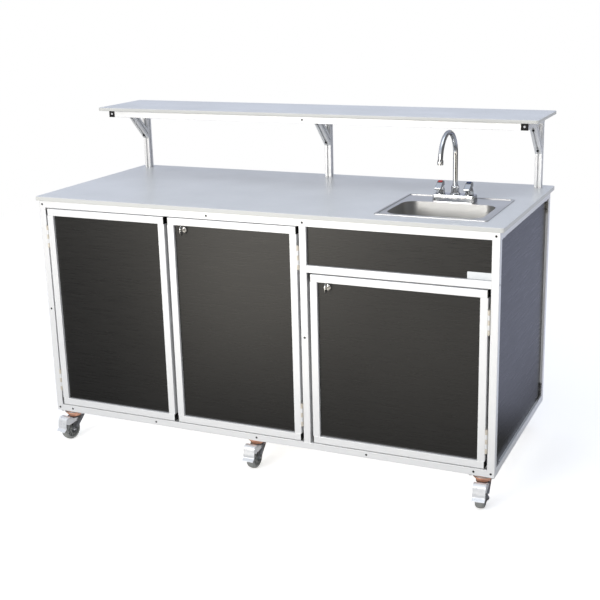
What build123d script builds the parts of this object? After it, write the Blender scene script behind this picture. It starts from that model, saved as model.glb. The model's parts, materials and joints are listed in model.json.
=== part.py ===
from build123d import *

import math
import os

# Portable handwash sink: a slotted-bar cabinet on six casters, with three doors, a worktop with a drop-in
# sink and faucet, an over-shelf, and the tanks, pump and heater that make it work away from mains water.
# Millimetres, +Z up, front towards -Y. The origin is on the floor, midway across and midway through the
# whole depth.

os.makedirs("parts", exist_ok=True)

# Cabinet frame
FRAME_W = 1727.2  # over the corner posts
FRAME_D = 743.0
FRAME_H = 823.0
CASTER_H = 118.0  # floor to the underside of the frame
BAR = 25.4  # side of the square slotted bar
BAR_WALL = 2.0
BAR_EDGE_R = 1.2
SLOT_W = 6.4
CAVITY_W = 9.6
CAVITY_DEPTH = 4.4
CORE_R = 2.6
SPLIT_X = 1059.0  # centre line of the mullions, from the left face
FASCIA_RAIL_Z = 653.1  # centre of the rail above the right door
SHELF_RAIL_Z = 410.0
FLOOR_BEAMS_X = (71.0, 444.0, 815.6, 860.0, 1279.0, 1656.2)
TOP_BEAM_X = 698.0
HOLE_R = 4.0  # access hole over an end screw
FIT = 0.05  # running or assembly clearance

# Panels
PANEL_T = 6.0
SLOT_GRIP = 5.5  # how far a panel reaches into a slot
SLOT_PLAY = 0.3

# Worktop and over-shelf
TOP_W = 1752.6
TOP_D = 762.0
TOP_T = 16.0
TOP_FRONT = 6.4  # overhang at the front
TOP_CORNER_R = 9.0
TOP_EDGE_R = 3.0
SHELF_D = 304.8
SHELF_T = 12.7
SHELF_FRONT_Y = 434.0
SHELF_TOP_Z = 1115.0
SHELF_RAIL_FRONT_Y = 453.8
UPRIGHT_Y = 704.9
UPRIGHT_DROP = 110.0  # length below the worktop
ARM_X = 38.1  # centre of a side arm, from the side of the frame
BRACE_REACH = 115.2  # from the upright to the foot of the brace on the arm
CAP_T = 2.5

# Doors
DOOR_PROUD = 3.0
HINGE_GAP = 8.0
PAIR_GAP = 13.4
LOCK_GAP = 12.0
DOOR_LOW_Z = 30.0
PAIR_TOP_Z = 795.2
RIGHT_TOP_Z = 636.5
HINGE_LENGTH = 82.0
HINGE_LOW_Z = 127.0
HINGE_DOWN = 105.0  # from the door's top edge to the middle of the upper hinge
LEAF_T = 1.5
LEAF_DEPTH = 20.0
KNUCKLE_R = 3.6
PIN_R = 1.5
LOCK_IN = 37.0  # from the panel's visible corner, sideways and down
LOCK_DOWN = 16.0

# Sink and faucet
SINK_W = 384.0
SINK_D = 368.0
SINK_CORNER_R = 9.0
SINK_X = 1476.0
SINK_Y = 254.0
SHEET = 1.2
RIM_H = 3.2
RIM_W = 9.0
CUTOUT_INSET = 12.0  # from the sink's edge to the hole in the worktop
BOWL_W = 328.0
BOWL_D = 228.0
BOWL_Y = 206.0
BOWL_DEPTH = 150.0
BOWL_TAPER = 4.0
BOWL_CORNER_R = 48.0
BOWL_FLOOR_R = 22.0
DRAIN_R = 28.0
FAUCET_Y = 360.0
RISER_Y = 362.0
HUB_SPACING = 50.8
SPOUT_R = 8.2
SPOUT_REACH = 175.0
SPOUT_STRAIGHT = 160.0
AERATOR_R = 9.6
AERATOR_DROP = 7.0  # its mouth below the end of the arch

# Casters, measured from the floor and the swivel axis
WHEEL_R = 38.0
WHEEL_W = 30.0
WHEEL_TRAIL = 26.0
AXLE_R = 6.0
KINGPIN_R = 5.0
FORK_TOP_Z = 88.0
LEG_X = 17.5  # inner face of a fork leg
LEG_T = 2.5
PLATE_T = 4.0
PEDAL_PIVOT = (-10.0, 78.0)  # y and z
FRONT_CASTERS = ((48.0, 40.0), (835.0, 54.0), (FRAME_W - 48.0, 40.0))
REAR_CASTER_Y = FRAME_D - 40.0
REAR_CASTERS = ((90.0, REAR_CASTER_Y), (835.0, REAR_CASTER_Y), (FRAME_W - 90.0, REAR_CASTER_Y))
FRONT_TURN = (-12.0, -2.0, 3.0)  # how far each front caster is turned at rest
CASTER_SIDES = ("left", "middle", "right")

WORKTOP_Z = FRAME_H + TOP_T
SHELF_UNDER_Z = SHELF_TOP_Z - SHELF_T
SHELF_BAR_Z = SHELF_UNDER_Z - BAR / 2
HALF = BAR / 2
ORIGIN_Y = 362.16
ARMS_X = (ARM_X, FRAME_W / 2, FRAME_W - ARM_X)


def at(x, y, z):
    """A point given from the cabinet frame's front left lower corner."""
    return (x - FRAME_W / 2, y - ORIGIN_Y, z + CASTER_H)


def save(piece, name):
    """Labels a finished sub-part and writes it."""
    piece.part.label = name
    export_step(piece.part, f"parts/{name}.step")


def gather(name, pieces):
    """Writes separate solids as one node."""
    with BuildPart() as node:
        add(pieces)
    save(node, name)


def block(low, high, mode=Mode.ADD):
    """A box between two corners given from the frame's corner."""
    size = [b - a for a, b in zip(low, high)]
    with Locations(at(*low)):
        return Box(*size, align=(Align.MIN, Align.MIN, Align.MIN), mode=mode)


def slab(low, high):
    """A separate plain panel between two corners."""
    with BuildPart() as piece:
        block(low, high)
    return piece.part


# ---------------------------------------------------------------- slotted bars

BAR_FRAMES = {
    "x": ((0, 1, 0), (1, 0, 0), {"+y": 0, "+z": 90, "-y": 180, "-z": 270}),
    "y": ((1, 0, 0), (0, 1, 0), {"+x": 0, "-z": 90, "-x": 180, "+z": 270}),
    "z": ((1, 0, 0), (0, 0, 1), {"+x": 0, "+y": 90, "-x": 180, "-y": 270}),
}
ALL_ROUND = ("+x", "-x", "+y", "-y")


def bar_section(slot_angles):
    """The bar's section: four inner cavities, opened through the wall at the given angles."""
    RectangleRounded(BAR, BAR, BAR_EDGE_R)
    with PolarLocations(HALF - BAR_WALL - CAVITY_DEPTH / 2, 4):
        Rectangle(CAVITY_DEPTH, CAVITY_W, mode=Mode.SUBTRACT)
    for angle in slot_angles:
        with PolarLocations(HALF - BAR_WALL / 2, 1, start_angle=angle):
            Rectangle(BAR_WALL + 1, SLOT_W, mode=Mode.SUBTRACT)
    Circle(CORE_R, mode=Mode.SUBTRACT)


def bar(axis, start, length, slots=()):
    """One bar whose centre line starts at start and runs along +axis; slots names its open faces."""
    x_dir, z_dir, angles = BAR_FRAMES[axis]
    with BuildPart() as piece:
        with BuildSketch(Plane(origin=at(*start), x_dir=x_dir, z_dir=z_dir)):
            bar_section([angles[face] for face in slots])
        extrude(amount=length)
    return piece.part


# Access holes: x and z on the front and back faces
post_holes = [(HALF, z) for z in (HALF, SHELF_RAIL_Z, FRAME_H - HALF)]
post_holes += [(FRAME_W - HALF, z) for z in (HALF, FRAME_H - HALF)]
post_holes += [(SPLIT_X, SHELF_RAIL_Z)]
rail_holes = [(x, HALF) for x in FLOOR_BEAMS_X if x != FLOOR_BEAMS_X[2]]
rail_holes += [(x, FRAME_H - HALF) for x in (TOP_BEAM_X, SPLIT_X)]
SIDE_HOLE = (HALF, FASCIA_RAIL_Z)  # y and z on the right side, over the fascia rail's end screw
SHELF_HOLE_X = FRAME_W / 2


def face_discs(places, radius, depth, inset, mode=Mode.ADD):
    """Short cylinders set into the front and back faces at each x and z."""
    for y in (inset + depth / 2, FRAME_D - inset - depth / 2):
        with Locations(*[at(x, y, z) for x, z in places]):
            Cylinder(radius, depth, rotation=(90, 0, 0), mode=mode)


def side_disc(radius, depth, inset, mode=Mode.ADD):
    """The same on the right side face."""
    with Locations(at(FRAME_W - inset - depth / 2, *SIDE_HOLE)):
        Cylinder(radius, depth, rotation=(0, 90, 0), mode=mode)


# ---------------------------------------------------------------- cabinet frame

corner_posts = [
    bar("z", (HALF, HALF, 0), FRAME_H, ("+y",)),
    bar("z", (FRAME_W - HALF, HALF, 0), FRAME_H, ("+y",)),
    bar("z", (HALF, FRAME_D - HALF, 0), FRAME_H, ("-y", "+x")),
    bar("z", (FRAME_W - HALF, FRAME_D - HALF, 0), FRAME_H, ("-y", "-x")),
]
mullions = [
    bar("z", (SPLIT_X, HALF, BAR), FRAME_H - 2 * BAR, ("+y",)),
    bar("z", (SPLIT_X, FRAME_D - HALF, BAR), FRAME_H - 2 * BAR, ("-y", "+x", "-x")),
]
with BuildPart() as frame_posts:
    add(corner_posts + mullions)
    face_discs(post_holes, HOLE_R, BAR_WALL + 0.5, -0.5, Mode.SUBTRACT)
    side_disc(HOLE_R, BAR_WALL + 0.5, -0.5, Mode.SUBTRACT)
save(frame_posts, "frame_posts")

RAIL_L = FRAME_W - 2 * BAR
SIDE_L = FRAME_D - 2 * BAR
HIGH_Z = FRAME_H - HALF
SPLIT_FACE = SPLIT_X + HALF
rails = [
    bar("x", (BAR, HALF, HALF), RAIL_L),
    bar("x", (BAR, HALF, HIGH_Z), RAIL_L, ("-z",)),
    bar("x", (BAR, FRAME_D - HALF, HALF), RAIL_L, ("+z",)),
    bar("x", (BAR, FRAME_D - HALF, HIGH_Z), RAIL_L, ("-z",)),
    bar("x", (SPLIT_FACE, HALF, FASCIA_RAIL_Z), FRAME_W - BAR - SPLIT_FACE, ("+z",)),
]
for side_x in (HALF, FRAME_W - HALF):
    rails.append(bar("y", (side_x, BAR, HALF), SIDE_L, ("+z",)))
    rails.append(bar("y", (side_x, BAR, HIGH_Z), SIDE_L, ("-z",)))
with BuildPart() as frame_rails:
    add(rails)
    face_discs(rail_holes, HOLE_R, BAR_WALL + 0.5, -0.5, Mode.SUBTRACT)
save(frame_rails, "frame_rails")

beams = [bar("y", (x, BAR, HALF), SIDE_L) for x in FLOOR_BEAMS_X]
beams += [
    bar("y", (TOP_BEAM_X, BAR, HIGH_Z), SIDE_L),
    bar("y", (SPLIT_X, BAR, HIGH_Z), SIDE_L),
    bar("y", (HALF, BAR, SHELF_RAIL_Z), SIDE_L, ("+z", "-z", "+x")),
    bar("y", (SPLIT_X, BAR, SHELF_RAIL_Z), SIDE_L, ("+z", "-z", "-x")),
]
gather("cross_beams", beams)

# Flat angle brackets with button screws, in the recess outside each side panel
BRACKET_LEG = 55.0
BRACKET_T = 2.5
BRACKET_W = 7.6
SCREW_R = 3.6
SCREW_H = 2.2
SCREW_AT = (14.0, 40.0)


def angle_bracket():
    """An L in the YZ plane, corner at the origin, legs along +Y and +Z, with two screws a leg."""
    with BuildPart() as piece:
        with BuildSketch(Plane.YZ.offset(-BRACKET_W / 2)):
            with BuildLine():
                Polyline(
                    (FIT, FIT),
                    (BRACKET_LEG, FIT),
                    (BRACKET_LEG, BRACKET_T),
                    (BRACKET_T, BRACKET_T),
                    (BRACKET_T, BRACKET_LEG),
                    (FIT, BRACKET_LEG),
                    close=True,
                )
            make_face()
        extrude(amount=BRACKET_W)
        head_z = BRACKET_T + FIT + SCREW_H / 2
        with Locations(*[(0, y, head_z) for y in SCREW_AT]):
            Cylinder(SCREW_R, SCREW_H)
        with Locations(*[(0, head_z, z) for z in SCREW_AT]):
            Cylinder(SCREW_R, SCREW_H, rotation=(90, 0, 0))
        tops = [e for e in piece.edges().filter_by(GeomType.CIRCLE) if far_edge(e)]
        fillet(tops, SCREW_H * 0.45)
    return piece.part


def far_edge(edge):
    """True for the outer rim of a screw head."""
    centre = edge.arc_center
    return max(min(centre.Y, centre.Z), 0) > BRACKET_T + SCREW_H * 0.9


bracket = angle_bracket()
bracket_places = []
for bracket_x in (5.0, FRAME_W - 5.0):
    low_z, high_z = BAR, FRAME_H - BAR
    corners = ((BAR, low_z), (FRAME_D - BAR, low_z), (FRAME_D - BAR, high_z), (BAR, high_z))
    for turn, (corner_y, corner_z) in enumerate(corners):
        bracket_places.append(Location(at(bracket_x, corner_y, corner_z), (90 * turn, 0, 0)))
gather("corner_brackets", [place * bracket for place in bracket_places])

# ---------------------------------------------------------------- panels

PANEL_LOW = HALF - PANEL_T / 2
PANEL_HIGH = HALF + PANEL_T / 2


def side_panel(x_low, z_low, z_high):
    """A panel held in the slots of two posts and two rails."""
    y_low, y_high = BAR - SLOT_GRIP, FRAME_D - BAR + SLOT_GRIP
    return slab((x_low, y_low, z_low - SLOT_GRIP), (x_low + PANEL_T, y_high, z_high + SLOT_GRIP))


gather(
    "side_panels",
    [
        side_panel(PANEL_LOW, BAR, SHELF_RAIL_Z - HALF),
        side_panel(PANEL_LOW, SHELF_RAIL_Z + HALF, FRAME_H - BAR),
        side_panel(FRAME_W - PANEL_HIGH, BAR, FRAME_H - BAR),
    ],
)


def back_panel(x_low, x_high):
    """A back panel between two uprights of the frame."""
    low = (x_low - SLOT_GRIP, FRAME_D - PANEL_HIGH, BAR - SLOT_GRIP)
    return slab(low, (x_high + SLOT_GRIP, FRAME_D - PANEL_LOW, FRAME_H - BAR + SLOT_GRIP))


gather("back_panels", [back_panel(BAR, SPLIT_X - HALF), back_panel(SPLIT_FACE, FRAME_W - BAR)])

INNER = BAR + 0.6
floor = slab((INNER, INNER, BAR), (FRAME_W - INNER, FRAME_D - INNER, BAR + PANEL_T))
DIVIDER_X = SPLIT_X - PANEL_T / 2


def divider(z_low, z_high):
    """A divider panel between the front and back mullions."""
    low = (DIVIDER_X, BAR - SLOT_GRIP, z_low)
    return slab(low, (DIVIDER_X + PANEL_T, FRAME_D - BAR + SLOT_GRIP, z_high))


lower_divider = divider(BAR + PANEL_T + SLOT_PLAY, SHELF_RAIL_Z - HALF + SLOT_GRIP)
upper_divider = divider(SHELF_RAIL_Z + HALF - SLOT_GRIP, FRAME_H - BAR - SLOT_PLAY)
gather("inner_panels", [floor, lower_divider, upper_divider])

with BuildPart() as storage_shelf:
    block(
        (BAR - SLOT_GRIP, BAR + 4, SHELF_RAIL_Z - PANEL_T / 2),
        (SPLIT_X - HALF + SLOT_GRIP, FRAME_D - BAR - 4, SHELF_RAIL_Z + PANEL_T / 2),
    )
save(storage_shelf, "storage_shelf")

with BuildPart() as fascia_panel:
    block(
        (SPLIT_FACE + SLOT_PLAY, PANEL_LOW, FASCIA_RAIL_Z + HALF - SLOT_GRIP),
        (FRAME_W - BAR - SLOT_PLAY, PANEL_HIGH, FRAME_H - BAR + SLOT_GRIP),
    )
save(fascia_panel, "fascia_panel")

PLATE_W = 78.0
PLATE_H = 23.0
with BuildPart() as name_plate:
    with BuildSketch(Plane(origin=at(1661, PANEL_LOW - FIT, 678.0), x_dir=(1, 0, 0), z_dir=(0, -1, 0))):
        RectangleRounded(PLATE_W, PLATE_H, 1.5)
    extrude(amount=1.2)
save(name_plate, "name_plate")

# ---------------------------------------------------------------- worktop and over-shelf

TOP_CENTRE_Y = TOP_D / 2 - TOP_FRONT
with BuildPart() as worktop:
    with BuildSketch(Plane(origin=at(FRAME_W / 2, TOP_CENTRE_Y, FRAME_H), z_dir=(0, 0, 1))):
        RectangleRounded(TOP_W, TOP_D, TOP_CORNER_R)
    extrude(amount=TOP_T)
    outer = worktop.edges().group_by(Axis.Z)[-1] + worktop.edges().group_by(Axis.Z)[0]
    fillet(outer, TOP_EDGE_R)
    with BuildSketch(Plane(origin=at(SINK_X, SINK_Y, FRAME_H), z_dir=(0, 0, 1))):
        RectangleRounded(SINK_W - 2 * CUTOUT_INSET, SINK_D - 2 * CUTOUT_INSET, 12)
    extrude(amount=TOP_T, mode=Mode.SUBTRACT)
    with BuildSketch(Plane(origin=at(0, 0, FRAME_H), z_dir=(0, 0, 1))):
        with Locations(*[(x, UPRIGHT_Y) for x in ARMS_X]):
            Rectangle(BAR + 0.6, BAR + 0.6)
    extrude(amount=TOP_T, mode=Mode.SUBTRACT)
save(worktop, "worktop")

upright_z = FRAME_H - UPRIGHT_DROP
upright_l = SHELF_UNDER_Z - BAR - upright_z
uprights = [bar("z", (x, UPRIGHT_Y, upright_z), upright_l, ALL_ROUND) for x in ARMS_X]
gather("shelf_uprights", uprights)

arm_front = SHELF_RAIL_FRONT_Y + CAP_T
arm_back = UPRIGHT_Y + HALF - CAP_T
rail_l = ARMS_X[2] - ARMS_X[0] - BAR - 2 * FIT
rail_x = ARMS_X[0] + HALF + FIT
middle_arm_y = SHELF_RAIL_FRONT_Y + BAR + FIT
middle_arm_l = UPRIGHT_Y - HALF - FIT - middle_arm_y
shelf_bars = [bar("y", (x, arm_front, SHELF_BAR_Z), arm_back - arm_front) for x in (ARMS_X[0], ARMS_X[2])]
shelf_bars.append(bar("y", (ARMS_X[1], middle_arm_y, SHELF_BAR_Z), middle_arm_l))
shelf_bars.append(bar("x", (rail_x, SHELF_RAIL_FRONT_Y + HALF, SHELF_BAR_Z), rail_l))
shelf_bars.append(bar("x", (rail_x, UPRIGHT_Y, SHELF_BAR_Z), rail_l))
with BuildPart() as shelf_frame:
    add(shelf_bars)
    with Locations(at(SHELF_HOLE_X, SHELF_RAIL_FRONT_Y + BAR_WALL / 2, SHELF_BAR_Z)):
        Cylinder(HOLE_R, BAR_WALL + 1, rotation=(90, 0, 0), mode=Mode.SUBTRACT)
save(shelf_frame, "shelf_frame")

brace_top_z = SHELF_UNDER_Z - BAR
brace_back_y = UPRIGHT_Y - HALF


def brace(x):
    """A 45 degree strut, mitred against the arm above it and the upright behind it."""
    run = BAR / 2 * math.sqrt(2)
    start = (x, brace_back_y - BRACE_REACH + run - 30, brace_top_z + 30)
    down = Plane(origin=at(*start), x_dir=(1, 0, 0), z_dir=(0, 1, -1))
    with BuildPart() as piece:
        with BuildSketch(down):
            bar_section((0, 90, 180, 270))
        extrude(amount=BRACE_REACH * 2)
        split(bisect_by=Plane(origin=at(0, 0, brace_top_z - FIT), z_dir=(0, 0, -1)))
        split(bisect_by=Plane(origin=at(0, brace_back_y - FIT, 0), z_dir=(0, -1, 0)))
    return piece.part


gather("shelf_braces", [brace(x) for x in ARMS_X])

with BuildPart() as shelf_board:
    board_centre = at(FRAME_W / 2, SHELF_FRONT_Y + SHELF_D / 2, SHELF_UNDER_Z)
    with BuildSketch(Plane(origin=board_centre, z_dir=(0, 0, 1))):
        RectangleRounded(TOP_W, SHELF_D, TOP_CORNER_R)
    extrude(amount=SHELF_T)
    board_edges = shelf_board.edges().group_by(Axis.Z)[-1] + shelf_board.edges().group_by(Axis.Z)[0]
    fillet(board_edges, TOP_EDGE_R)
save(shelf_board, "shelf_board")

# Black plastic: arm end caps, the plugs in the access holes, and the brace screws
PLUG_T = 1.2
PLUG_INSET = 0.7
with BuildPart() as caps_and_plugs:
    for cap_y in (SHELF_RAIL_FRONT_Y, arm_back):
        with BuildSketch(Plane(origin=at(0, cap_y + CAP_T, 0), x_dir=(1, 0, 0), z_dir=(0, -1, 0))):
            with Locations(*[(x, SHELF_BAR_Z) for x in (ARMS_X[0], ARMS_X[2])]):
                RectangleRounded(BAR, BAR, BAR_EDGE_R)
        extrude(amount=CAP_T)
    face_discs(post_holes + rail_holes, HOLE_R - FIT, PLUG_T, PLUG_INSET)
    side_disc(HOLE_R - FIT, PLUG_T, PLUG_INSET)
    with Locations(at(SHELF_HOLE_X, SHELF_RAIL_FRONT_Y + PLUG_INSET + PLUG_T / 2, SHELF_BAR_Z)):
        Cylinder(HOLE_R - FIT, PLUG_T, rotation=(90, 0, 0))
    for inward in (16.0, BRACE_REACH - 16.0):
        screw_y = brace_back_y - inward - 1.6
        screw_z = brace_top_z - BRACE_REACH + inward - 1.6
        with Locations(*[at(x, screw_y, screw_z) for x in ARMS_X]):
            Cylinder(4.2, 4, rotation=(-45, 0, 0))
save(caps_and_plugs, "caps_and_plugs")

# ---------------------------------------------------------------- doors, hinges and locks

DOOR_Y = HALF - DOOR_PROUD  # centre of a door's thickness
PIN_Y = -DOOR_PROUD
pair_w = (SPLIT_X - HALF - BAR - 2 * HINGE_GAP - PAIR_GAP) / 2
DOORS = {
    "left": (BAR + HINGE_GAP, BAR + HINGE_GAP + pair_w, PAIR_TOP_Z, -1),
    "middle": (SPLIT_X - HALF - HINGE_GAP - pair_w, SPLIT_X - HALF - HINGE_GAP, PAIR_TOP_Z, 1),
    "right": (SPLIT_FACE + LOCK_GAP, FRAME_W - BAR - HINGE_GAP, RIGHT_TOP_Z, 1),
}
KNUCKLES = 5
knuckle_l = HINGE_LENGTH / KNUCKLES


def hinge_leaf(side, knuckles):
    """A leaf on the pin axis at the origin: side is +1 or -1 in x, knuckles counts from the bottom."""
    with BuildPart() as piece:
        leaf_x = side * (HINGE_GAP / 2 - LEAF_T / 2 - FIT)
        with Locations((leaf_x, KNUCKLE_R + 0.6 + LEAF_DEPTH / 2, 0)):
            Box(LEAF_T, LEAF_DEPTH, HINGE_LENGTH)
        for k in knuckles:
            centre_z = -HINGE_LENGTH / 2 + (k + 0.5) * knuckle_l
            with Locations((leaf_x, KNUCKLE_R / 2 + 0.5, centre_z)):
                Box(LEAF_T, KNUCKLE_R + 1, knuckle_l - 0.4)
            with Locations((0, 0, centre_z)):
                Cylinder(KNUCKLE_R, knuckle_l - 0.4)
                Cylinder(PIN_R + FIT, knuckle_l, mode=Mode.SUBTRACT)
    return piece.part


def hinge_pin():
    """A headed pin through all the knuckles."""
    with BuildPart() as piece:
        Cylinder(PIN_R, HINGE_LENGTH + 1)
        for end in (-1, 1):
            with Locations((0, 0, end * (HINGE_LENGTH / 2 + 0.8))):
                Cylinder(PIN_R + 1, 1.2)
    return piece.part


frame_hardware = []
door_leaves = {}
pin = hinge_pin()
for door, (x_low, x_high, z_high, hinge_side) in DOORS.items():
    pin_x = x_low - HINGE_GAP / 2 if hinge_side < 0 else x_high + HINGE_GAP / 2
    places = [Location(at(pin_x, PIN_Y, z)) for z in (HINGE_LOW_Z, z_high - HINGE_DOWN)]
    frame_leaf = hinge_leaf(hinge_side, (0, 2, 4))
    door_leaf = hinge_leaf(-hinge_side, (1, 3))
    frame_hardware += [place * piece for place in places for piece in (frame_leaf, pin)]
    door_leaves[door] = [place * door_leaf for place in places]
gather("hinge_leaves_and_pins", frame_hardware)


def door_frame(x_low, x_high, z_high):
    """Two full-width rails with two stiles between them, less the end caps."""
    width = x_high - x_low - 2 * CAP_T
    stile_l = z_high - DOOR_LOW_Z - 2 * BAR - 2 * FIT
    stile_z = DOOR_LOW_Z + BAR + FIT
    return [
        bar("x", (x_low + CAP_T, DOOR_Y, DOOR_LOW_Z + HALF), width, ("+z",)),
        bar("x", (x_low + CAP_T, DOOR_Y, z_high - HALF), width, ("-z",)),
        bar("z", (x_low + HALF, DOOR_Y, stile_z), stile_l, ("+x",)),
        bar("z", (x_high - HALF, DOOR_Y, stile_z), stile_l, ("-x",)),
    ]


LOCK_R = 8.0
LOCK_FLANGE_R = 10.0
PLUG_R = 5.5
PANEL_FACE = DOOR_Y - PANEL_T / 2
CAM_Y = BAR + 1.8
CAM_L = 54.0
CAM_T = 3.0


def lock_place(x_low, z_high):
    """The lock's axis, near the panel's upper corner on the opening side."""
    return (x_low + BAR + LOCK_IN, z_high - BAR - LOCK_DOWN)


def door_panel(x_low, x_high, z_high, hole):
    """The panel in the door's slots, with a hole for a lock when there is one."""
    inset = BAR - SLOT_GRIP
    with BuildPart() as piece:
        high = (x_high - inset, PANEL_FACE + PANEL_T, z_high - inset)
        block((x_low + inset, PANEL_FACE, DOOR_LOW_Z + inset), high)
        if hole:
            with Locations(at(hole[0], DOOR_Y, hole[1])):
                Cylinder(LOCK_R + FIT, PANEL_T + 2, rotation=(90, 0, 0), mode=Mode.SUBTRACT)
    return piece


def door_caps(x_low, x_high, z_high):
    """Plastic caps on the four ends of the door's rails."""
    with BuildPart() as piece:
        for x in (x_low, x_high - CAP_T):
            with BuildSketch(Plane(origin=at(x, 0, 0), x_dir=(0, 1, 0), z_dir=(1, 0, 0))):
                with Locations(*[(DOOR_Y, z) for z in (DOOR_LOW_Z + HALF, z_high - HALF)]):
                    RectangleRounded(BAR, BAR, BAR_EDGE_R)
            extrude(amount=CAP_T)
    return piece


def front_disc(x, z, y_low, y_high, radius, mode=Mode.ADD):
    """A cylinder along Y between two depths."""
    with Locations(at(x, (y_low + y_high) / 2, z)):
        Cylinder(radius, y_high - y_low, rotation=(90, 0, 0), mode=mode)


def lock_body(x, z):
    """The barrel through the panel, its flange in front and its nut behind."""
    back = PANEL_FACE + PANEL_T
    with BuildPart() as piece:
        front_disc(x, z, PANEL_FACE - 2.5, CAM_Y - 0.6, LOCK_R)
        front_disc(x, z, PANEL_FACE - 2.5, PANEL_FACE - FIT, LOCK_FLANGE_R)
        with BuildSketch(Plane(origin=at(x, back + FIT, z), x_dir=(1, 0, 0), z_dir=(0, 1, 0))):
            RegularPolygon(11.5, 6)
        extrude(amount=4)
        front_disc(x, z, PANEL_FACE - 4, CAM_Y, PLUG_R + FIT, Mode.SUBTRACT)
    return piece


def lock_plug(x, z):
    """The plug with its cam behind and its key in front."""
    with BuildPart() as piece:
        front_disc(x, z, PANEL_FACE - 3, CAM_Y + CAM_T, PLUG_R)
        with BuildSketch(Plane(origin=at(x, CAM_Y + CAM_T, z), x_dir=(1, 0, 0), z_dir=(0, -1, 0))):
            with Locations(((CAM_L - 9) / 2, 0)):
                RectangleRounded(CAM_L + 9, 17, 8)
        extrude(amount=CAM_T)
        block((x - 1, PANEL_FACE - 12, z - 4), (x + 1, PANEL_FACE - 2.5, z + 4))
        with BuildSketch(Plane(origin=at(x - 1, PANEL_FACE - 20, z), x_dir=(0, 1, 0), z_dir=(1, 0, 0))):
            Ellipse(10.5, 17)
            with Locations((-5, 0)):
                Circle(2.4, mode=Mode.SUBTRACT)
        extrude(amount=2)
    return piece


for door, (x_low, x_high, z_high, _) in DOORS.items():
    gather(f"{door}_door_frame", door_frame(x_low, x_high, z_high) + door_leaves[door])
    locked = door != "left"
    lock_x, lock_z = lock_place(x_low, z_high)
    save(door_panel(x_low, x_high, z_high, (lock_x, lock_z) if locked else None), f"{door}_door_panel")
    save(door_caps(x_low, x_high, z_high), f"{door}_door_caps")
    if locked:
        save(lock_body(lock_x, lock_z), f"{door}_lock_body")
        save(lock_plug(lock_x, lock_z), f"{door}_lock_plug")

# ---------------------------------------------------------------- sink

DECK_Z = WORKTOP_Z + SHEET
BOWL_FLOOR_Z = DECK_Z - BOWL_DEPTH


def bowl_form(grow, floor_z):
    """The bowl as a solid plug: rounded plan, tapered walls and a rounded floor."""
    depth = DECK_Z - floor_z
    with BuildPart() as piece:
        with BuildSketch(Plane(origin=at(SINK_X, BOWL_Y, DECK_Z), x_dir=(1, 0, 0), z_dir=(0, 0, -1))):
            RectangleRounded(BOWL_W + 2 * grow, BOWL_D + 2 * grow, BOWL_CORNER_R + grow)
        extrude(amount=depth, taper=BOWL_TAPER)
        fillet(piece.edges().group_by(Axis.Z)[0], BOWL_FLOOR_R + grow)
    return piece.part


bowl_outside = bowl_form(SHEET, BOWL_FLOOR_Z - SHEET)
bowl_inside = bowl_form(0, BOWL_FLOOR_Z)
deck_plane = Plane(origin=at(SINK_X, SINK_Y, WORKTOP_Z), z_dir=(0, 0, 1))
with BuildPart() as sink_bowl:
    with BuildSketch(deck_plane):
        RectangleRounded(SINK_W, SINK_D, SINK_CORNER_R)
    extrude(amount=RIM_H)
    fillet(sink_bowl.edges().group_by(Axis.Z)[-1], RIM_H - 0.8)
    with BuildSketch(deck_plane.offset(SHEET)):
        RectangleRounded(SINK_W - 2 * RIM_W, SINK_D - 2 * RIM_W, SINK_CORNER_R - 4)
    extrude(amount=RIM_H, mode=Mode.SUBTRACT)
    add(bowl_outside)
    add(bowl_inside, mode=Mode.SUBTRACT)
    with Locations(at(SINK_X, BOWL_Y, BOWL_FLOOR_Z)):
        Cylinder(DRAIN_R, 10, mode=Mode.SUBTRACT)
    with Locations(*[at(SINK_X + side * HUB_SPACING, FAUCET_Y, DECK_Z) for side in (-1, 1)]):
        Cylinder(12, 10, mode=Mode.SUBTRACT)
save(sink_bowl, "sink_bowl")

TAIL_R = 16.0
TAIL_L = 82.0
CUP_R = DRAIN_R - 0.5
CUP_L = 40.0
with BuildPart() as basket_strainer:
    drain_origin = at(SINK_X, BOWL_Y, BOWL_FLOOR_Z + FIT)
    with BuildSketch(Plane(origin=drain_origin, x_dir=(1, 0, 0), z_dir=(0, -1, 0))):
        with BuildLine():
            Polyline(
                (0, -8),
                (CUP_R - 2, -8),
                (CUP_R - 2, 0.8),
                (38, 0.8),
                (38, 0),
                (CUP_R, 0),
                (CUP_R, -CUP_L),
                (TAIL_R, -CUP_L - 6),
                (TAIL_R, -TAIL_L),
                (TAIL_R - 1.5, -TAIL_L),
                (TAIL_R - 1.5, -CUP_L - 5),
                (CUP_R - 2, -CUP_L + 1),
                (CUP_R - 2, -9.5),
                (0, -9.5),
                close=True,
            )
        make_face()
    revolve(axis=Axis(at(SINK_X, BOWL_Y, 0), (0, 0, 1)))
    with Locations(at(SINK_X, BOWL_Y, BOWL_FLOOR_Z - 8.75)):
        with PolarLocations(8, 6):
            Cylinder(2.4, 6, mode=Mode.SUBTRACT)
        with PolarLocations(17, 12):
            Cylinder(2.4, 6, mode=Mode.SUBTRACT)
save(basket_strainer, "basket_strainer")

# ---------------------------------------------------------------- faucet

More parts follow.
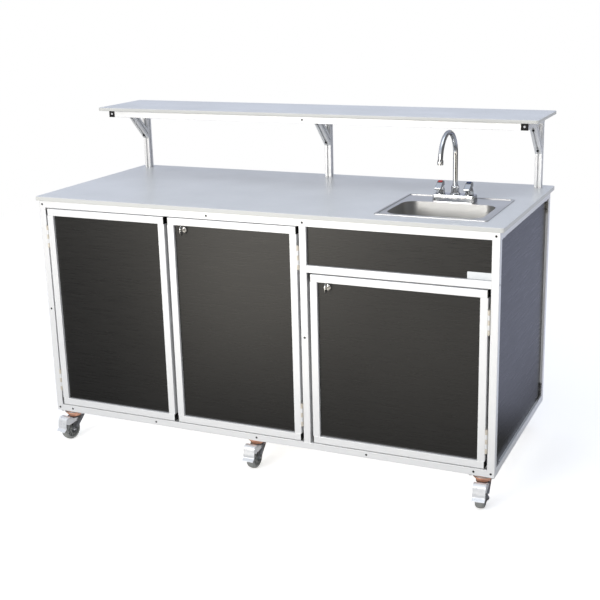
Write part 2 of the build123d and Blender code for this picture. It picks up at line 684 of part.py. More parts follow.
BASE_H = 25.0
BASE_W = 150.0
BASE_D = 50.0
HUB_R = 14.0
SIDE_HUB_H = 12.0
MID_HUB_H = 18.0
SHANK_R = 10.0
SHANK_L = 52.0
base_z = DECK_Z + FIT
mid_hub_z = base_z + BASE_H + MID_HUB_H
side_hub_z = base_z + BASE_H + SIDE_HUB_H
hub_places = [(SINK_X + side * HUB_SPACING, FAUCET_Y) for side in (-1, 1)]
STUB_R = 6.0
STUB_L = 14.0
with BuildPart() as faucet_body:
    with BuildSketch(Plane(origin=at(SINK_X, FAUCET_Y, base_z), z_dir=(0, 0, 1))):
        RectangleRounded(BASE_W, BASE_D, 9)
    extrude(amount=BASE_H, taper=4)
    fillet(faucet_body.edges().group_by(Axis.Z)[-1], 4)
    for hub_x, hub_y in hub_places:
        with Locations(at(hub_x, hub_y, base_z + BASE_H + SIDE_HUB_H / 2)):
            Cylinder(HUB_R, SIDE_HUB_H)
        with Locations(at(hub_x, hub_y, DECK_Z - SHANK_L / 2 + 5)):
            Cylinder(SHANK_R, SHANK_L + 10)
        with BuildSketch(Plane(origin=at(hub_x, hub_y, WORKTOP_Z - FIT), x_dir=(1, 0, 0), z_dir=(0, 0, -1))):
            RegularPolygon(17, 6)
        extrude(amount=7)
    with Locations(at(SINK_X, RISER_Y, base_z + BASE_H + MID_HUB_H / 2)):
        Cylinder(HUB_R, MID_HUB_H)
    with Locations(at(SINK_X, RISER_Y, mid_hub_z - STUB_L / 2)):
        Cylinder(STUB_R + FIT, STUB_L + 0.5, mode=Mode.SUBTRACT)
    with Locations(*[at(hub_x, hub_y, side_hub_z - STUB_L / 2) for hub_x, hub_y in hub_places]):
        Cylinder(STUB_R + FIT, STUB_L + 0.5, mode=Mode.SUBTRACT)
save(faucet_body, "faucet_body")

spout_low = mid_hub_z + 0.3
arch_z = WORKTOP_Z + SPOUT_STRAIGHT
arch_r = SPOUT_REACH / 2
tip_y = RISER_Y - SPOUT_REACH
with BuildPart() as spout:
    with BuildLine():
        riser = Line(at(SINK_X, RISER_Y, spout_low), at(SINK_X, RISER_Y, arch_z))
        arch_top = at(SINK_X, RISER_Y - arch_r, arch_z + arch_r)
        ThreePointArc(riser @ 1, arch_top, at(SINK_X, tip_y, arch_z))
    with BuildSketch(Plane(origin=at(SINK_X, RISER_Y, spout_low), z_dir=(0, 0, 1))):
        Circle(SPOUT_R)
    sweep()
    with Locations(at(SINK_X, RISER_Y, spout_low)):
        Cylinder(HUB_R - 1, 9, align=(Align.CENTER, Align.CENTER, Align.MIN))
    with Locations(at(SINK_X, RISER_Y, spout_low)):
        Cylinder(STUB_R, STUB_L - 1, align=(Align.CENTER, Align.CENTER, Align.MAX))
    with Locations(at(SINK_X, tip_y, arch_z - AERATOR_DROP)):
        Cylinder(AERATOR_R, 14, align=(Align.CENTER, Align.CENTER, Align.MIN))
        Cylinder(AERATOR_R - 1.6, 4, align=(Align.CENTER, Align.CENTER, Align.CENTER), mode=Mode.SUBTRACT)
save(spout, "spout")

HANDLE_H = 19.0  # waisted hub under the lever
LEVER_W = 22.0
LEVER_TOP = 32.0
LEVER_TIP = -39.0
for name, (hub_x, hub_y) in zip(("hot_handle", "cold_handle"), hub_places):
    with BuildPart() as handle:
        with Locations(at(hub_x, hub_y, side_hub_z + 0.3)):
            Cylinder(STUB_R, STUB_L - 1, align=(Align.CENTER, Align.CENTER, Align.MAX))
            Cone(HUB_R - 0.5, HUB_R - 5, HANDLE_H, align=(Align.CENTER, Align.CENTER, Align.MIN))
        lever_origin = at(hub_x - LEVER_W / 2, hub_y, side_hub_z)
        with BuildPart() as lever:
            with BuildSketch(Plane(origin=lever_origin, x_dir=(0, 1, 0), z_dir=(1, 0, 0))) as outline:
                with BuildLine():
                    Polyline(
                        (11, 14),
                        (11, LEVER_TOP - 5),
                        (2, LEVER_TOP),
                        (-16, LEVER_TOP - 6),
                        (LEVER_TIP, 12),
                        (LEVER_TIP, 4),
                        (-14, 13),
                        close=True,
                    )
                make_face()
                fillet(outline.vertices(), 3)
            extrude(amount=LEVER_W)
            fillet(lever.faces().filter_by(Axis.X).edges(), 2)
    save(handle, name)

# ---------------------------------------------------------------- tanks, pump, heater and hoses

FLOOR_Z = BAR + PANEL_T + SLOT_PLAY
TANK_WALL = 3.0
TANK_R = 24.0
NECK_R = 25.0
NECK_BORE_R = 20.5
NECK_H = 20.0


def tank(low, high, neck, cap_bore_r):
    """A hollow moulded tank with a neck, and its screw cap as a second solid."""
    with BuildPart() as shell:
        block(low, high)
        fillet(shell.edges(), TANK_R)
    inner_low = [v + TANK_WALL for v in low]
    inner_high = [v - TANK_WALL for v in high]
    with BuildPart() as room:
        block(inner_low, inner_high)
        fillet(room.edges(), TANK_R - TANK_WALL)
    with BuildPart() as piece:
        add(shell.part)
        with Locations(at(*neck, high[2] - 1)):
            Cylinder(NECK_R, NECK_H + 1, align=(Align.CENTER, Align.CENTER, Align.MIN))
        add(room.part, mode=Mode.SUBTRACT)
        with Locations(at(*neck, high[2])):
            Cylinder(NECK_BORE_R, 4 * NECK_H, mode=Mode.SUBTRACT)
        upright = (Align.CENTER, Align.CENTER, Align.MIN)
        with Locations(at(*neck, high[2] + 3)):
            Cylinder(NECK_R + 5, NECK_H + 1, align=upright)
            Cylinder(NECK_R + 0.2, NECK_H - 2.8, align=upright, mode=Mode.SUBTRACT)
            Cylinder(cap_bore_r, 3 * NECK_H, mode=Mode.SUBTRACT)
    return piece


HOSE_R = 6.0
DRAIN_HOSE_R = 18.4
FRESH_NECK = (1230.0, 190.0)
FRESH_TOP = 392.0
WASTE_NECK = (1540.0, 190.0)
WASTE_TOP = 412.0
TANK_FRONT_Y = 60.0
FRESH_X = (1090.0, 1370.0)
FRESH_BACK_Y = 305.0
WASTE_X = (1395.0, 1685.0)
WASTE_BACK_Y = 340.0
fresh_low = (FRESH_X[0], TANK_FRONT_Y, FLOOR_Z)
fresh_high = (FRESH_X[1], FRESH_BACK_Y, FRESH_TOP)
waste_low = (WASTE_X[0], TANK_FRONT_Y, FLOOR_Z)
waste_high = (WASTE_X[1], WASTE_BACK_Y, WASTE_TOP)
save(tank(fresh_low, fresh_high, FRESH_NECK, HOSE_R + 0.4), "fresh_tank")
save(tank(waste_low, waste_high, WASTE_NECK, DRAIN_HOSE_R + 0.4), "waste_tank")

PUMP_X = (1100.0, 1280.0)
PUMP_Y = 475.0  # motor's centre line
MOTOR_X = 1205.0
MOTOR_R = 38.0
MOTOR_Z = FLOOR_Z + 50.0
PUMP_HALF_D = 50.0
PORT_X = 1137.0
PORT_Z = FLOOR_Z + 60.0
PORT_R = 8.0
PUMP_TOP = FLOOR_Z + 89.0
with BuildPart() as pump:
    block((PUMP_X[0], PUMP_Y - PUMP_HALF_D, FLOOR_Z), (PUMP_X[1], PUMP_Y + PUMP_HALF_D, FLOOR_Z + 8))
    with Locations(at(MOTOR_X, PUMP_Y, MOTOR_Z)):
        Cylinder(MOTOR_R, 110, rotation=(0, 90, 0))
    block((PUMP_X[0] + 10, PUMP_Y - 42, FLOOR_Z + 6), (PORT_X + 28, PUMP_Y + 42, FLOOR_Z + 92))
    with Locations(*[at(PORT_X, PUMP_Y + side * PUMP_HALF_D, PORT_Z) for side in (-1, 1)]):
        Cylinder(PORT_R, 20, rotation=(90, 0, 0))
save(pump, "pump")

HEATER_LOW = (1400.0, 405.0, FLOOR_Z)
HEATER_HIGH = (1680.0, 690.0, FLOOR_Z + 300.0)
HEATER_WALL = 2.0
HEATER_TOP = HEATER_HIGH[2]
NIPPLE_Y = 450.0
NIPPLE_X = (1450.0, 1620.0)
NIPPLE_R = 9.0
with BuildPart() as water_heater:
    block(HEATER_LOW, HEATER_HIGH)
    fillet(water_heater.edges().filter_by(Axis.Z), 20)
    fillet(water_heater.edges().group_by(Axis.Z)[-1], 6)
    room_low = [v + HEATER_WALL for v in HEATER_LOW]
    room_high = [HEATER_HIGH[0] - HEATER_WALL, HEATER_HIGH[1] - HEATER_WALL, HEATER_TOP - 12]
    block(room_low, room_high, Mode.SUBTRACT)
    with Locations(*[at(x, NIPPLE_Y, HEATER_TOP + 5) for x in NIPPLE_X]):
        Cylinder(NIPPLE_R, 14)
save(water_heater, "water_heater")


HOSE_END = 24.0  # straight length at each end of a hose


def hose(points, radius, bore_r, first=(0, 0, 1), last=(0, 0, -1)):
    """A flexible hose on a smooth curve with straight ends that run along first and last."""
    places = [Vector(*at(*p)) for p in points]
    bend_start = places[0] + Vector(*first) * HOSE_END
    bend_end = places[-1] - Vector(*last) * HOSE_END
    with BuildPart() as piece:
        with BuildLine():
            Line(places[0], bend_start)
            Spline(bend_start, *places[1:-1], bend_end, tangents=(first, last))
            Line(bend_end, places[-1])
        with BuildSketch(Plane(origin=places[0], z_dir=first)):
            Circle(radius)
            Circle(bore_r, mode=Mode.SUBTRACT)
        sweep()
    return piece.part


tail_z = BOWL_FLOOR_Z - TAIL_L
drain_path = [(SINK_X, BOWL_Y, tail_z + 20), (1508, 198, 520), (*WASTE_NECK, WASTE_TOP)]
gather("drain_hose", [hose(drain_path, DRAIN_HOSE_R, TAIL_R + 0.3, (0, 0, -1), (0, 0, -1))])

shank_z = DECK_Z - SHANK_L - 1
cold_x = SINK_X + HUB_SPACING
hot_x = SINK_X - HUB_SPACING
suction = [(*FRESH_NECK, FRESH_TOP), (1222, 300, FRESH_TOP + 80), (1192, 374, 300), (1148, 366, 160)]
suction += [(PORT_X, PUMP_Y - 61, PORT_Z)]
feed = [(PORT_X, PUMP_Y + 61, PORT_Z), (1200, 600, 250), (1360, 560, 480), (cold_x, FAUCET_Y, shank_z)]
hot_feed = [(NIPPLE_X[0], NIPPLE_Y, HEATER_TOP + 13), (1440, 440, 500), (hot_x, FAUCET_Y, shank_z)]
heater_feed = [(MOTOR_X, PUMP_Y, PUMP_TOP), (1280, 560, 360), (1560, 540, 470)]
heater_feed += [(NIPPLE_X[1], NIPPLE_Y, HEATER_TOP + 13)]
gather(
    "supply_hoses",
    [
        hose(suction, HOSE_R, HOSE_R - 2, (0, 0, 1), (0, 1, 0)),
        hose(feed, HOSE_R, HOSE_R - 2, (0, 1, 0), (0, 0, 1)),
        hose(hot_feed, HOSE_R, HOSE_R - 2, (0, 0, 1), (0, 0, 1)),
        hose(heater_feed, HOSE_R, HOSE_R - 2, (0, 0, 1), (0, 0, -1)),
    ],
)

# ---------------------------------------------------------------- casters

RING_TOP_Z = CASTER_H - PLATE_T - FIT
RING_LOW_Z = FORK_TOP_Z + 1.0
RING_R = 36.0
RING_LOW_R = 21.0
FORK_BACK = 30.0  # how far the fork's crown reaches behind the swivel axis
FLANGE_W = 4.0  # turned-out edge of a fork leg
PEDAL_X = 22.0  # outer face of a pedal ear
PEDAL_T = 1.8
PEDAL_PROFILE = ((-30, 87), (-49, 95.5), (-61, 90), (-65, 74), (-67, 60), (-67, 53), (-73, 48), (-79, 43))


def caster_plate():
    """The mounting plate with its four bolts and nuts."""
    with BuildPart() as piece:
        with BuildSketch(Plane.XY.offset(CASTER_H - PLATE_T)):
            RectangleRounded(92, 56, 6)
        extrude(amount=PLATE_T - FIT)
        for x, y in ((-38, -20), (38, -20), (-38, 20), (38, 20)):
            with BuildSketch(Plane.XY.offset(CASTER_H - PLATE_T - FIT)):
                with Locations((x, y)):
                    RegularPolygon(6.5, 6)
            extrude(amount=-5)
    return piece.part


def swivel_ring():
    """The cup-shaped race housing between the plate and the fork."""
    bore_r = KINGPIN_R + 0.06
    with BuildPart() as piece:
        with BuildSketch(Plane.XZ):
            with BuildLine():
                Polyline((bore_r, RING_LOW_Z), (RING_LOW_R, RING_LOW_Z))
                Spline(
                    (RING_LOW_R, RING_LOW_Z),
                    (RING_LOW_R + 5, RING_LOW_Z + 7),
                    (RING_R, RING_TOP_Z - 6),
                    tangents=((1, 0.3), (0.3, 1)),
                )
                Line((RING_R, RING_TOP_Z - 6), (RING_R, RING_TOP_Z))
                Polyline((RING_R, RING_TOP_Z), (bore_r, RING_TOP_Z), (bore_r, RING_LOW_Z))
            make_face()
        revolve(axis=Axis.Z)
    return piece.part


def caster_fork(braked):
    """The fork with its kingpin, its axle bolt and, when braked, the pedal's pivot pin."""
    leg_low = AXLE_R + 6
    wheel_y = -WHEEL_TRAIL
    outside = LEG_X + LEG_T
    with BuildPart() as piece:
        with BuildSketch(Plane.XY.offset(FORK_TOP_Z - 3)):
            Circle(24)
            with Locations((0, FORK_BACK / 2)):
                Rectangle(2 * outside, FORK_BACK)
        extrude(amount=3)
        with Locations((0, 0, FORK_TOP_Z)):
            Cylinder(KINGPIN_R, RING_TOP_Z - FORK_TOP_Z - 1, align=(Align.CENTER, Align.CENTER, Align.MIN))
        for side in (-1, 1):
            with BuildSketch(Plane.YZ.offset(side * (LEG_X + LEG_T / 2))):
                with BuildLine():
                    Polyline((-19, FORK_TOP_Z), (FORK_BACK, FORK_TOP_Z), (wheel_y + leg_low, WHEEL_R))
                    ThreePointArc(
                        (wheel_y + leg_low, WHEEL_R),
                        (wheel_y, WHEEL_R - leg_low),
                        (wheel_y - leg_low, WHEEL_R),
                    )
                    Line((wheel_y - leg_low, WHEEL_R), (-19, FORK_TOP_Z))
                make_face()
                with Locations((wheel_y, WHEEL_R)):
                    Circle(AXLE_R + FIT, mode=Mode.SUBTRACT)
            extrude(amount=LEG_T / 2, both=True)
            with BuildSketch(Plane.YZ.offset(side * (outside + FLANGE_W / 2 - 0.5))):
                with BuildLine():
                    Line((FORK_BACK - 2, FORK_TOP_Z - 1), (wheel_y + leg_low + 3, WHEEL_R + 8))
                trace(line_width=LEG_T)
            extrude(amount=FLANGE_W / 2 + 0.5, both=True)
        head_x = outside + FIT
        with Locations((0, wheel_y, WHEEL_R)):
            Cylinder(AXLE_R, 2 * head_x + 1, rotation=(0, 90, 0))
        for side in (-1, 1):
            head_plane = Plane(origin=(side * head_x, wheel_y, WHEEL_R), z_dir=(side, 0, 0))
            with BuildSketch(head_plane):
                RegularPolygon(9, 6)
            extrude(amount=4)
        if braked:
            with Locations((0, *PEDAL_PIVOT)):
                Cylinder(2.4, 2 * PEDAL_X + 4, rotation=(0, 90, 0))
    return piece.part


def brake_pedal():
    """A pressed sheet down the front of the wheel, on two ears that turn on the fork's pivot pin."""
    pivot_y, pivot_z = PEDAL_PIVOT
    with BuildPart() as piece:
        with BuildSketch(Plane.YZ.offset(-PEDAL_X)):
            with BuildLine():
                Spline(*PEDAL_PROFILE)
            trace(line_width=PEDAL_T)
        extrude(amount=2 * PEDAL_X)
        for x in (-PEDAL_X, PEDAL_X - PEDAL_T):
            with BuildSketch(Plane.YZ.offset(x)):
                with BuildLine():
                    Polyline(
                        (-30, 87),
                        (pivot_y + 5, pivot_z + 4),
                        (pivot_y + 5, pivot_z - 5),
                        (pivot_y - 6, pivot_z - 6),
                        (-52, 66),
                        (-65, 73),
                        (-61, 89),
                        (-49, 95),
                        close=True,
                    )
                make_face()
                with Locations(PEDAL_PIVOT):
                    Circle(2.4 + FIT, mode=Mode.SUBTRACT)
            extrude(amount=PEDAL_T)
    return piece.part


def caster_wheel():
    """A crowned wheel with recessed sides and a hub, bored for the axle."""
    half_w = WHEEL_W / 2
    with BuildPart() as piece:
        with BuildSketch(Plane.XY):
            with BuildLine():
                Polyline((half_w, WHEEL_R - 8), (half_w, 27), (8, 25), (8, 16), (17, 14), (17, AXLE_R + FIT))
                Line((17, AXLE_R + FIT), (-17, AXLE_R + FIT))
                Polyline((-17, AXLE_R + FIT), (-17, 14), (-8, 16), (-8, 25), (-half_w, 27))
                Line((-half_w, 27), (-half_w, WHEEL_R - 8))
                shoulder = (half_w - 6, WHEEL_R - 1)
                bend = (half_w - 1.8, WHEEL_R - 3.4)
                ThreePointArc((-half_w, WHEEL_R - 8), (-bend[0], bend[1]), (-shoulder[0], shoulder[1]))
                ThreePointArc((-shoulder[0], shoulder[1]), (0, WHEEL_R), shoulder)
                ThreePointArc(shoulder, bend, (half_w, WHEEL_R - 8))
            make_face()
        revolve(axis=Axis.X)
    return piece.part.moved(Location((0, -WHEEL_TRAIL, WHEEL_R)))


front_spots = [
    Location((*at(x, y, 0)[:2], 0), (0, 0, turn)) for (x, y), turn in zip(FRONT_CASTERS, FRONT_TURN)
]
rear_spots = [Location((*at(x, y, 0)[:2], 0), (0, 0, 180)) for x, y in REAR_CASTERS]
square_spots = [Location((*at(x, y, 0)[:2], 0)) for x, y in FRONT_CASTERS + REAR_CASTERS]

plate = caster_plate()
ring = swivel_ring()
wheel = caster_wheel()
gather("caster_plates", [spot * plate for spot in square_spots])
gather("caster_rings", [spot * ring for spot in square_spots])
braked_fork = caster_fork(True)
plain_fork = caster_fork(False)
pedal = brake_pedal()
for side, spot in zip(CASTER_SIDES, front_spots):
    gather(f"front_{side}_fork", [spot * braked_fork])
    gather(f"front_{side}_wheel", [spot * wheel])
    gather(f"front_{side}_pedal", [spot * pedal])
for side, spot in zip(CASTER_SIDES, rear_spots):
    gather(f"rear_{side}_fork", [spot * plain_fork])
    gather(f"rear_{side}_wheel", [spot * wheel])
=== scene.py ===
import json
import math

import bmesh
import bpy
from mathutils import Matrix, Vector


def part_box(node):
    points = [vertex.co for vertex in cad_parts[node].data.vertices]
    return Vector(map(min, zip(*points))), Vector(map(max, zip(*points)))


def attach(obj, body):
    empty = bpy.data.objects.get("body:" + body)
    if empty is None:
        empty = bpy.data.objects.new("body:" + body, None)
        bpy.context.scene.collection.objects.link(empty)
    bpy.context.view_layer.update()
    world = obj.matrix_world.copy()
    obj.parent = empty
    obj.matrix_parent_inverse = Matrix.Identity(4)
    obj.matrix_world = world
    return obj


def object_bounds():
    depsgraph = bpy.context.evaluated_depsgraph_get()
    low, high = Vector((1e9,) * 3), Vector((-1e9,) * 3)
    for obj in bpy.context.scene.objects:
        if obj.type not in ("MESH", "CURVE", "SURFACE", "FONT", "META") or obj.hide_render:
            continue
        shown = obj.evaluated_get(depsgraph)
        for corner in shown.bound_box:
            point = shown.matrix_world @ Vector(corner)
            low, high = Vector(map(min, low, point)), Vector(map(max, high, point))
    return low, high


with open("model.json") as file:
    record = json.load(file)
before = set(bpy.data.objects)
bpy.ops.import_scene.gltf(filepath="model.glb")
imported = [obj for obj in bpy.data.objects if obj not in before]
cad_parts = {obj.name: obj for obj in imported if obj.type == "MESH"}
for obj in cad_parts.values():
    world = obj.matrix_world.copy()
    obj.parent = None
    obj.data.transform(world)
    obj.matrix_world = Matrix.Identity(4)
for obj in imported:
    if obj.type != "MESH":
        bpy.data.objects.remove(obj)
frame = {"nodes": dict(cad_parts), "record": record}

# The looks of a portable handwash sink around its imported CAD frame. Metres, +Z up, front towards -Y.

CAD_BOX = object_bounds()
NODES = frame["nodes"]
MM = 0.001


# ---------------------------------------------------------------- node materials


class Shader:
    """A node material with one Principled shader, built up call by call."""

    def __init__(self, name):
        self.material = bpy.data.materials.new(name)
        self.material.use_nodes = True
        self.tree = self.material.node_tree
        self.surface = self.tree.nodes["Principled BSDF"]

    def put(self, socket, value):
        """Links an output socket into an input, or sets the input's value."""
        if isinstance(value, bpy.types.NodeSocket):
            self.tree.links.new(value, socket)
        elif isinstance(value, tuple) and len(value) == 3 and socket.type == "RGBA":
            socket.default_value = (*value, 1)
        else:
            socket.default_value = value

    def node(self, kind, inputs=None, **settings):
        made = self.tree.nodes.new("ShaderNode" + kind)
        for key, value in settings.items():
            setattr(made, key, value)
        for key, value in (inputs or {}).items():
            self.put(made.inputs[key], value)
        return made

    def place(self, scale=(1, 1, 1), source="Object"):
        """Coordinates in metres, stretched by scale."""
        coords = self.node("TexCoord").outputs[source]
        return self.node("Mapping", {"Vector": coords, "Scale": scale}).outputs[0]

    def noise(self, vector, scale=1.0, detail=2.0, rough=0.5):
        inputs = {"Vector": vector, "Scale": scale, "Detail": detail, "Roughness": rough}
        return self.node("TexNoise", inputs).outputs[0]

    def range(self, value, low, high, out_low=0.0, out_high=1.0):
        inputs = {"Value": value, "From Min": low, "From Max": high, "To Min": out_low, "To Max": out_high}
        return self.node("MapRange", inputs).outputs[0]

    def sum(self, operation, a, b=0.0):
        made = self.node("Math", {0: a, 1: b}, operation=operation)
        return made.outputs[0]

    def mix(self, factor, a, b, blend="MIX"):
        return self.node("MixRGB", {"Fac": factor, "Color1": a, "Color2": b}, blend_type=blend).outputs[0]

    def bump(self, height, depth, normal=None):
        """Relief of the given depth in metres for a height that runs from 0 to 1."""
        inputs = {"Height": height, "Distance": depth, "Strength": 1.0}
        if normal is not None:
            inputs["Normal"] = normal
        return self.node("Bump", inputs).outputs[0]

    def axis(self, name, source="Object"):
        """One coordinate in metres."""
        split = self.node("SeparateXYZ", {0: self.node("TexCoord").outputs[source]})
        return split.outputs[name]

    def finish(self, **inputs):
        """Sets the Principled shader's inputs; underscores stand for spaces."""
        for key, value in inputs.items():
            self.put(self.surface.inputs[key.replace("_", " ")], value)
        return self.material


def aluminium(along):
    """Satin anodised extrusion with faint die lines along one axis."""
    s = Shader(f"anodised_aluminium_{along}")
    across = {"x": (5, 700, 700), "y": (700, 5, 700), "z": (700, 700, 5)}[along]
    lines = s.noise(s.place(across), detail=3)
    cloud = s.noise(s.place((4, 4, 4)), detail=3)
    tone = s.mix(lines, (0.79, 0.795, 0.80), (0.86, 0.86, 0.86))
    tone = s.mix(s.range(cloud, 0.35, 0.7, 0, 0.22), tone, (0.76, 0.77, 0.79))
    return s.finish(
        Base_Color=tone,
        Metallic=0.45,
        Roughness=s.range(lines, 0.2, 0.8, 0.36, 0.5),
        Normal=s.bump(lines, 0.03 * MM),
    )


def ribbed_panel():
    """Dark plastic sheet with fine level ribs."""
    s = Shader("dark_ribbed_panel")
    z = s.axis("Z")
    ribs = s.sum("SINE", s.sum("MULTIPLY", z, 2 * math.pi / 0.0052))
    streak = s.noise(s.place((9, 9, 420)), detail=3)
    cloud = s.noise(s.place((3, 3, 3)), detail=2)
    tone = s.mix(streak, (0.006, 0.006, 0.006), (0.013, 0.0125, 0.012))
    tone = s.mix(s.range(cloud, 0.3, 0.75, 0, 0.4), tone, (0.015, 0.0145, 0.0135))
    normal = s.bump(s.range(ribs, -1, 1), 0.035 * MM, s.bump(streak, 0.03 * MM))
    return s.finish(
        Base_Color=tone,
        Roughness=s.range(streak, 0.25, 0.75, 0.25, 0.34),
        Specular_IOR_Level=0.5,
        Normal=normal,
    )


def laminate():
    """Pale grey laminate with a fine pearl grain; faces that are not level are painted slightly darker and warmer, a
    painted shade on the edges.
    """
    s = Shader("pale_laminate")
    grain = s.noise(s.place((1500, 1500, 1500)), detail=1)
    cloud = s.noise(s.place((6, 6, 6)), detail=4, rough=0.6)
    tone = s.mix(s.range(grain, 0.3, 0.7), (0.64, 0.645, 0.645), (0.71, 0.715, 0.71))
    tone = s.mix(s.range(cloud, 0.35, 0.7, 0, 0.3), tone, (0.63, 0.64, 0.65))
    # Faces that are not level get a darker, warmer tone: painted shade on the edges, set by the face's direction.
    upward = s.node("SeparateXYZ", {0: s.node("NewGeometry").outputs["Normal"]}).outputs["Z"]
    tone = s.mix(s.range(upward, 0.35, 0.8), s.mix(grain, (0.48, 0.48, 0.46), (0.53, 0.53, 0.505)), tone)
    return s.finish(
        Base_Color=tone,
        Roughness=s.range(cloud, 0.3, 0.7, 0.3, 0.42),
        Normal=s.bump(grain, 0.02 * MM),
    )


def pale_board():
    """White foamed plastic board with a slight mottle."""
    s = Shader("pale_board")
    grain = s.noise(s.place((400, 400, 400)), detail=3)
    tone = s.mix(grain, (0.74, 0.74, 0.73), (0.82, 0.82, 0.81))
    return s.finish(Base_Color=tone, Roughness=0.45, Normal=s.bump(grain, 0.03 * MM))


def black_plastic():
    s = Shader("moulded_black_plastic")
    grain = s.noise(s.place((1800, 1800, 1800)), detail=2)
    tone = s.mix(grain, (0.003, 0.003, 0.003), (0.009, 0.009, 0.009))
    return s.finish(
        Base_Color=tone,
        Roughness=s.range(grain, 0.3, 0.7, 0.45, 0.6),
        Specular_IOR_Level=0.2,
        Normal=s.bump(grain, 0.04 * MM),
    )


def brushed_steel():
    """Stainless sheet, brushed from side to side."""
    s = Shader("brushed_stainless")
    lines = s.noise(s.place((6, 900, 900)), detail=4, rough=0.6)
    cloud = s.noise(s.place((12, 12, 12)), detail=3)
    tone = s.mix(lines, (0.50, 0.495, 0.485), (0.60, 0.595, 0.58))
    return s.finish(
        Base_Color=tone,
        Metallic=1.0,
        Roughness=s.sum("ADD", s.range(lines, 0.2, 0.8, 0.3, 0.38), s.range(cloud, 0.3, 0.7, 0, 0.05)),
        Normal=s.bump(lines, 0.008 * MM),
    )


def chrome():
    s = Shader("polished_chrome")
    spots = s.noise(s.place((70, 70, 70)), detail=4)
    # Base colour darkens where the surface turns away from the view: a painted dark reflection along the edges.
    facing = s.node("LayerWeight", {"Blend": 0.5}).outputs["Facing"]
    tone = s.mix(spots, (0.80, 0.81, 0.82), (0.86, 0.865, 0.87))
    return s.finish(
        Base_Color=s.mix(s.range(facing, 0.35, 0.75), tone, (0.16, 0.16, 0.165)),
        Metallic=1.0,
        Roughness=s.range(spots, 0.4, 0.7, 0.045, 0.11),
    )


def plated_steel(name, dark, bright, rough_low, rough_high, metallic=1.0):
    """Plated steel with a cloudy passivated finish."""
    s = Shader(name)
    cloud = s.noise(s.place((90, 90, 90)), detail=5, rough=0.65)
    grain = s.noise(s.place((900, 900, 900)), detail=2)
    return s.finish(
        Base_Color=s.mix(s.range(cloud, 0.3, 0.7), dark, bright),
        Metallic=metallic,
        Roughness=s.range(cloud, 0.3, 0.7, rough_low, rough_high),
        Normal=s.bump(grain, 0.02 * MM),
    )


def wheel_rubber():
    s = Shader("grey_wheel_rubber")
    grain = s.noise(s.place((700, 700, 700)), detail=3)
    dust = s.noise(s.place((60, 60, 60)), detail=4)
    tone = s.mix(grain, (0.15, 0.155, 0.15), (0.21, 0.215, 0.205))
    tone = s.mix(s.range(dust, 0.45, 0.75, 0, 0.5), tone, (0.30, 0.295, 0.27))
    return s.finish(Base_Color=tone, Roughness=s.range(dust, 0.3, 0.7, 0.42, 0.62), Normal=s.bump(grain, 0.05 * MM))


def tank_plastic():
    """Milky moulded polyethylene."""
    s = Shader("milky_polyethylene")
    cloud = s.noise(s.place((14, 14, 5)), detail=4)
    grain = s.noise(s.place((500, 500, 500)), detail=2)
    tone = s.mix(s.range(cloud, 0.3, 0.7), (0.62, 0.66, 0.67), (0.78, 0.80, 0.79))
    return s.finish(
        Base_Color=tone,
        Roughness=s.range(cloud, 0.3, 0.7, 0.34, 0.48),
        Subsurface_Weight=0.25,
        Subsurface_Radius=(0.02, 0.02, 0.02),
        Subsurface_Scale=0.5,
        Normal=s.bump(grain, 0.05 * MM),
    )


def painted(name, low, high, roughness, grain_scale=900):
    """Enamel or moulded plastic with a faint orange peel."""
    s = Shader(name)
    peel = s.noise(s.place((grain_scale,) * 3), detail=2)
    cloud = s.noise(s.place((20, 20, 20)), detail=3)
    return s.finish(
        Base_Color=s.mix(s.range(cloud, 0.3, 0.7), low, high),
        Roughness=s.range(cloud, 0.3, 0.7, roughness, roughness + 0.1),
        Normal=s.bump(peel, 0.03 * MM),
    )


LOOKS = {
    "dark_panel": ribbed_panel(),
    "laminate_top": laminate(),
    "pale_board": pale_board(),
    "black_plastic": black_plastic(),
    "stainless": brushed_steel(),
    "faucet_chrome": chrome(),
    "bright_steel": plated_steel("nickel_plated_steel", (0.66, 0.655, 0.64), (0.82, 0.815, 0.80), 0.22, 0.34),
    "zinc_plate": plated_steel("zinc_plated_steel", (0.44, 0.455, 0.48), (0.66, 0.67, 0.69), 0.26, 0.4),
    "copper_ring": plated_steel("copper_coloured_race", (0.90, 0.42, 0.26), (0.98, 0.62, 0.46), 0.28, 0.4, 0.55),
    "wheel_grey": wheel_rubber(),
    "tank_plastic": tank_plastic(),
    "pump_black": painted("pump_black", (0.012, 0.012, 0.013), (0.024, 0.024, 0.025), 0.38),
    "heater_white": painted("heater_enamel", (0.76, 0.76, 0.75), (0.82, 0.82, 0.81), 0.22),
    "grey_hose": painted("grey_hose", (0.26, 0.27, 0.28), (0.34, 0.35, 0.36), 0.4),
    "braided_hose": plated_steel("braided_hose", (0.42, 0.43, 0.44), (0.7, 0.7, 0.7), 0.3, 0.42),
}
BAR_LOOKS = {axis: aluminium(axis) for axis in "xyz"}
PEDAL_LOOK = plated_steel("bright_pressed_steel", (0.74, 0.75, 0.77), (0.88, 0.885, 0.89), 0.26, 0.38, 0.45)
HINGE_LOOK = plated_steel("hinge_nickel", (0.64, 0.59, 0.50), (0.78, 0.73, 0.63), 0.36, 0.46, 0.55)
OWN_LOOKS = {"hinge_leaves_and_pins": HINGE_LOOK}
OWN_LOOKS.update({f"front_{side}_pedal": PEDAL_LOOK for side in ("left", "middle", "right")})


def solids(mesh):
    """Face indices of each separate solid, found by the corners that faces share in place."""
    spot = {}
    corner = [spot.setdefault(tuple(round(c * 20000) for c in v.co), len(spot)) for v in mesh.vertices]
    root = list(range(len(spot)))

    def find(i):
        while root[i] != i:
            root[i] = root[root[i]]
            i = root[i]
        return i

    for face in mesh.polygons:
        first = find(corner[face.vertices[0]])
        for v in face.vertices[1:]:
            root[find(corner[v])] = first
    groups = {}
    for face in mesh.polygons:
        groups.setdefault(find(corner[face.vertices[0]]), []).append(face.index)
    return list(groups.values())


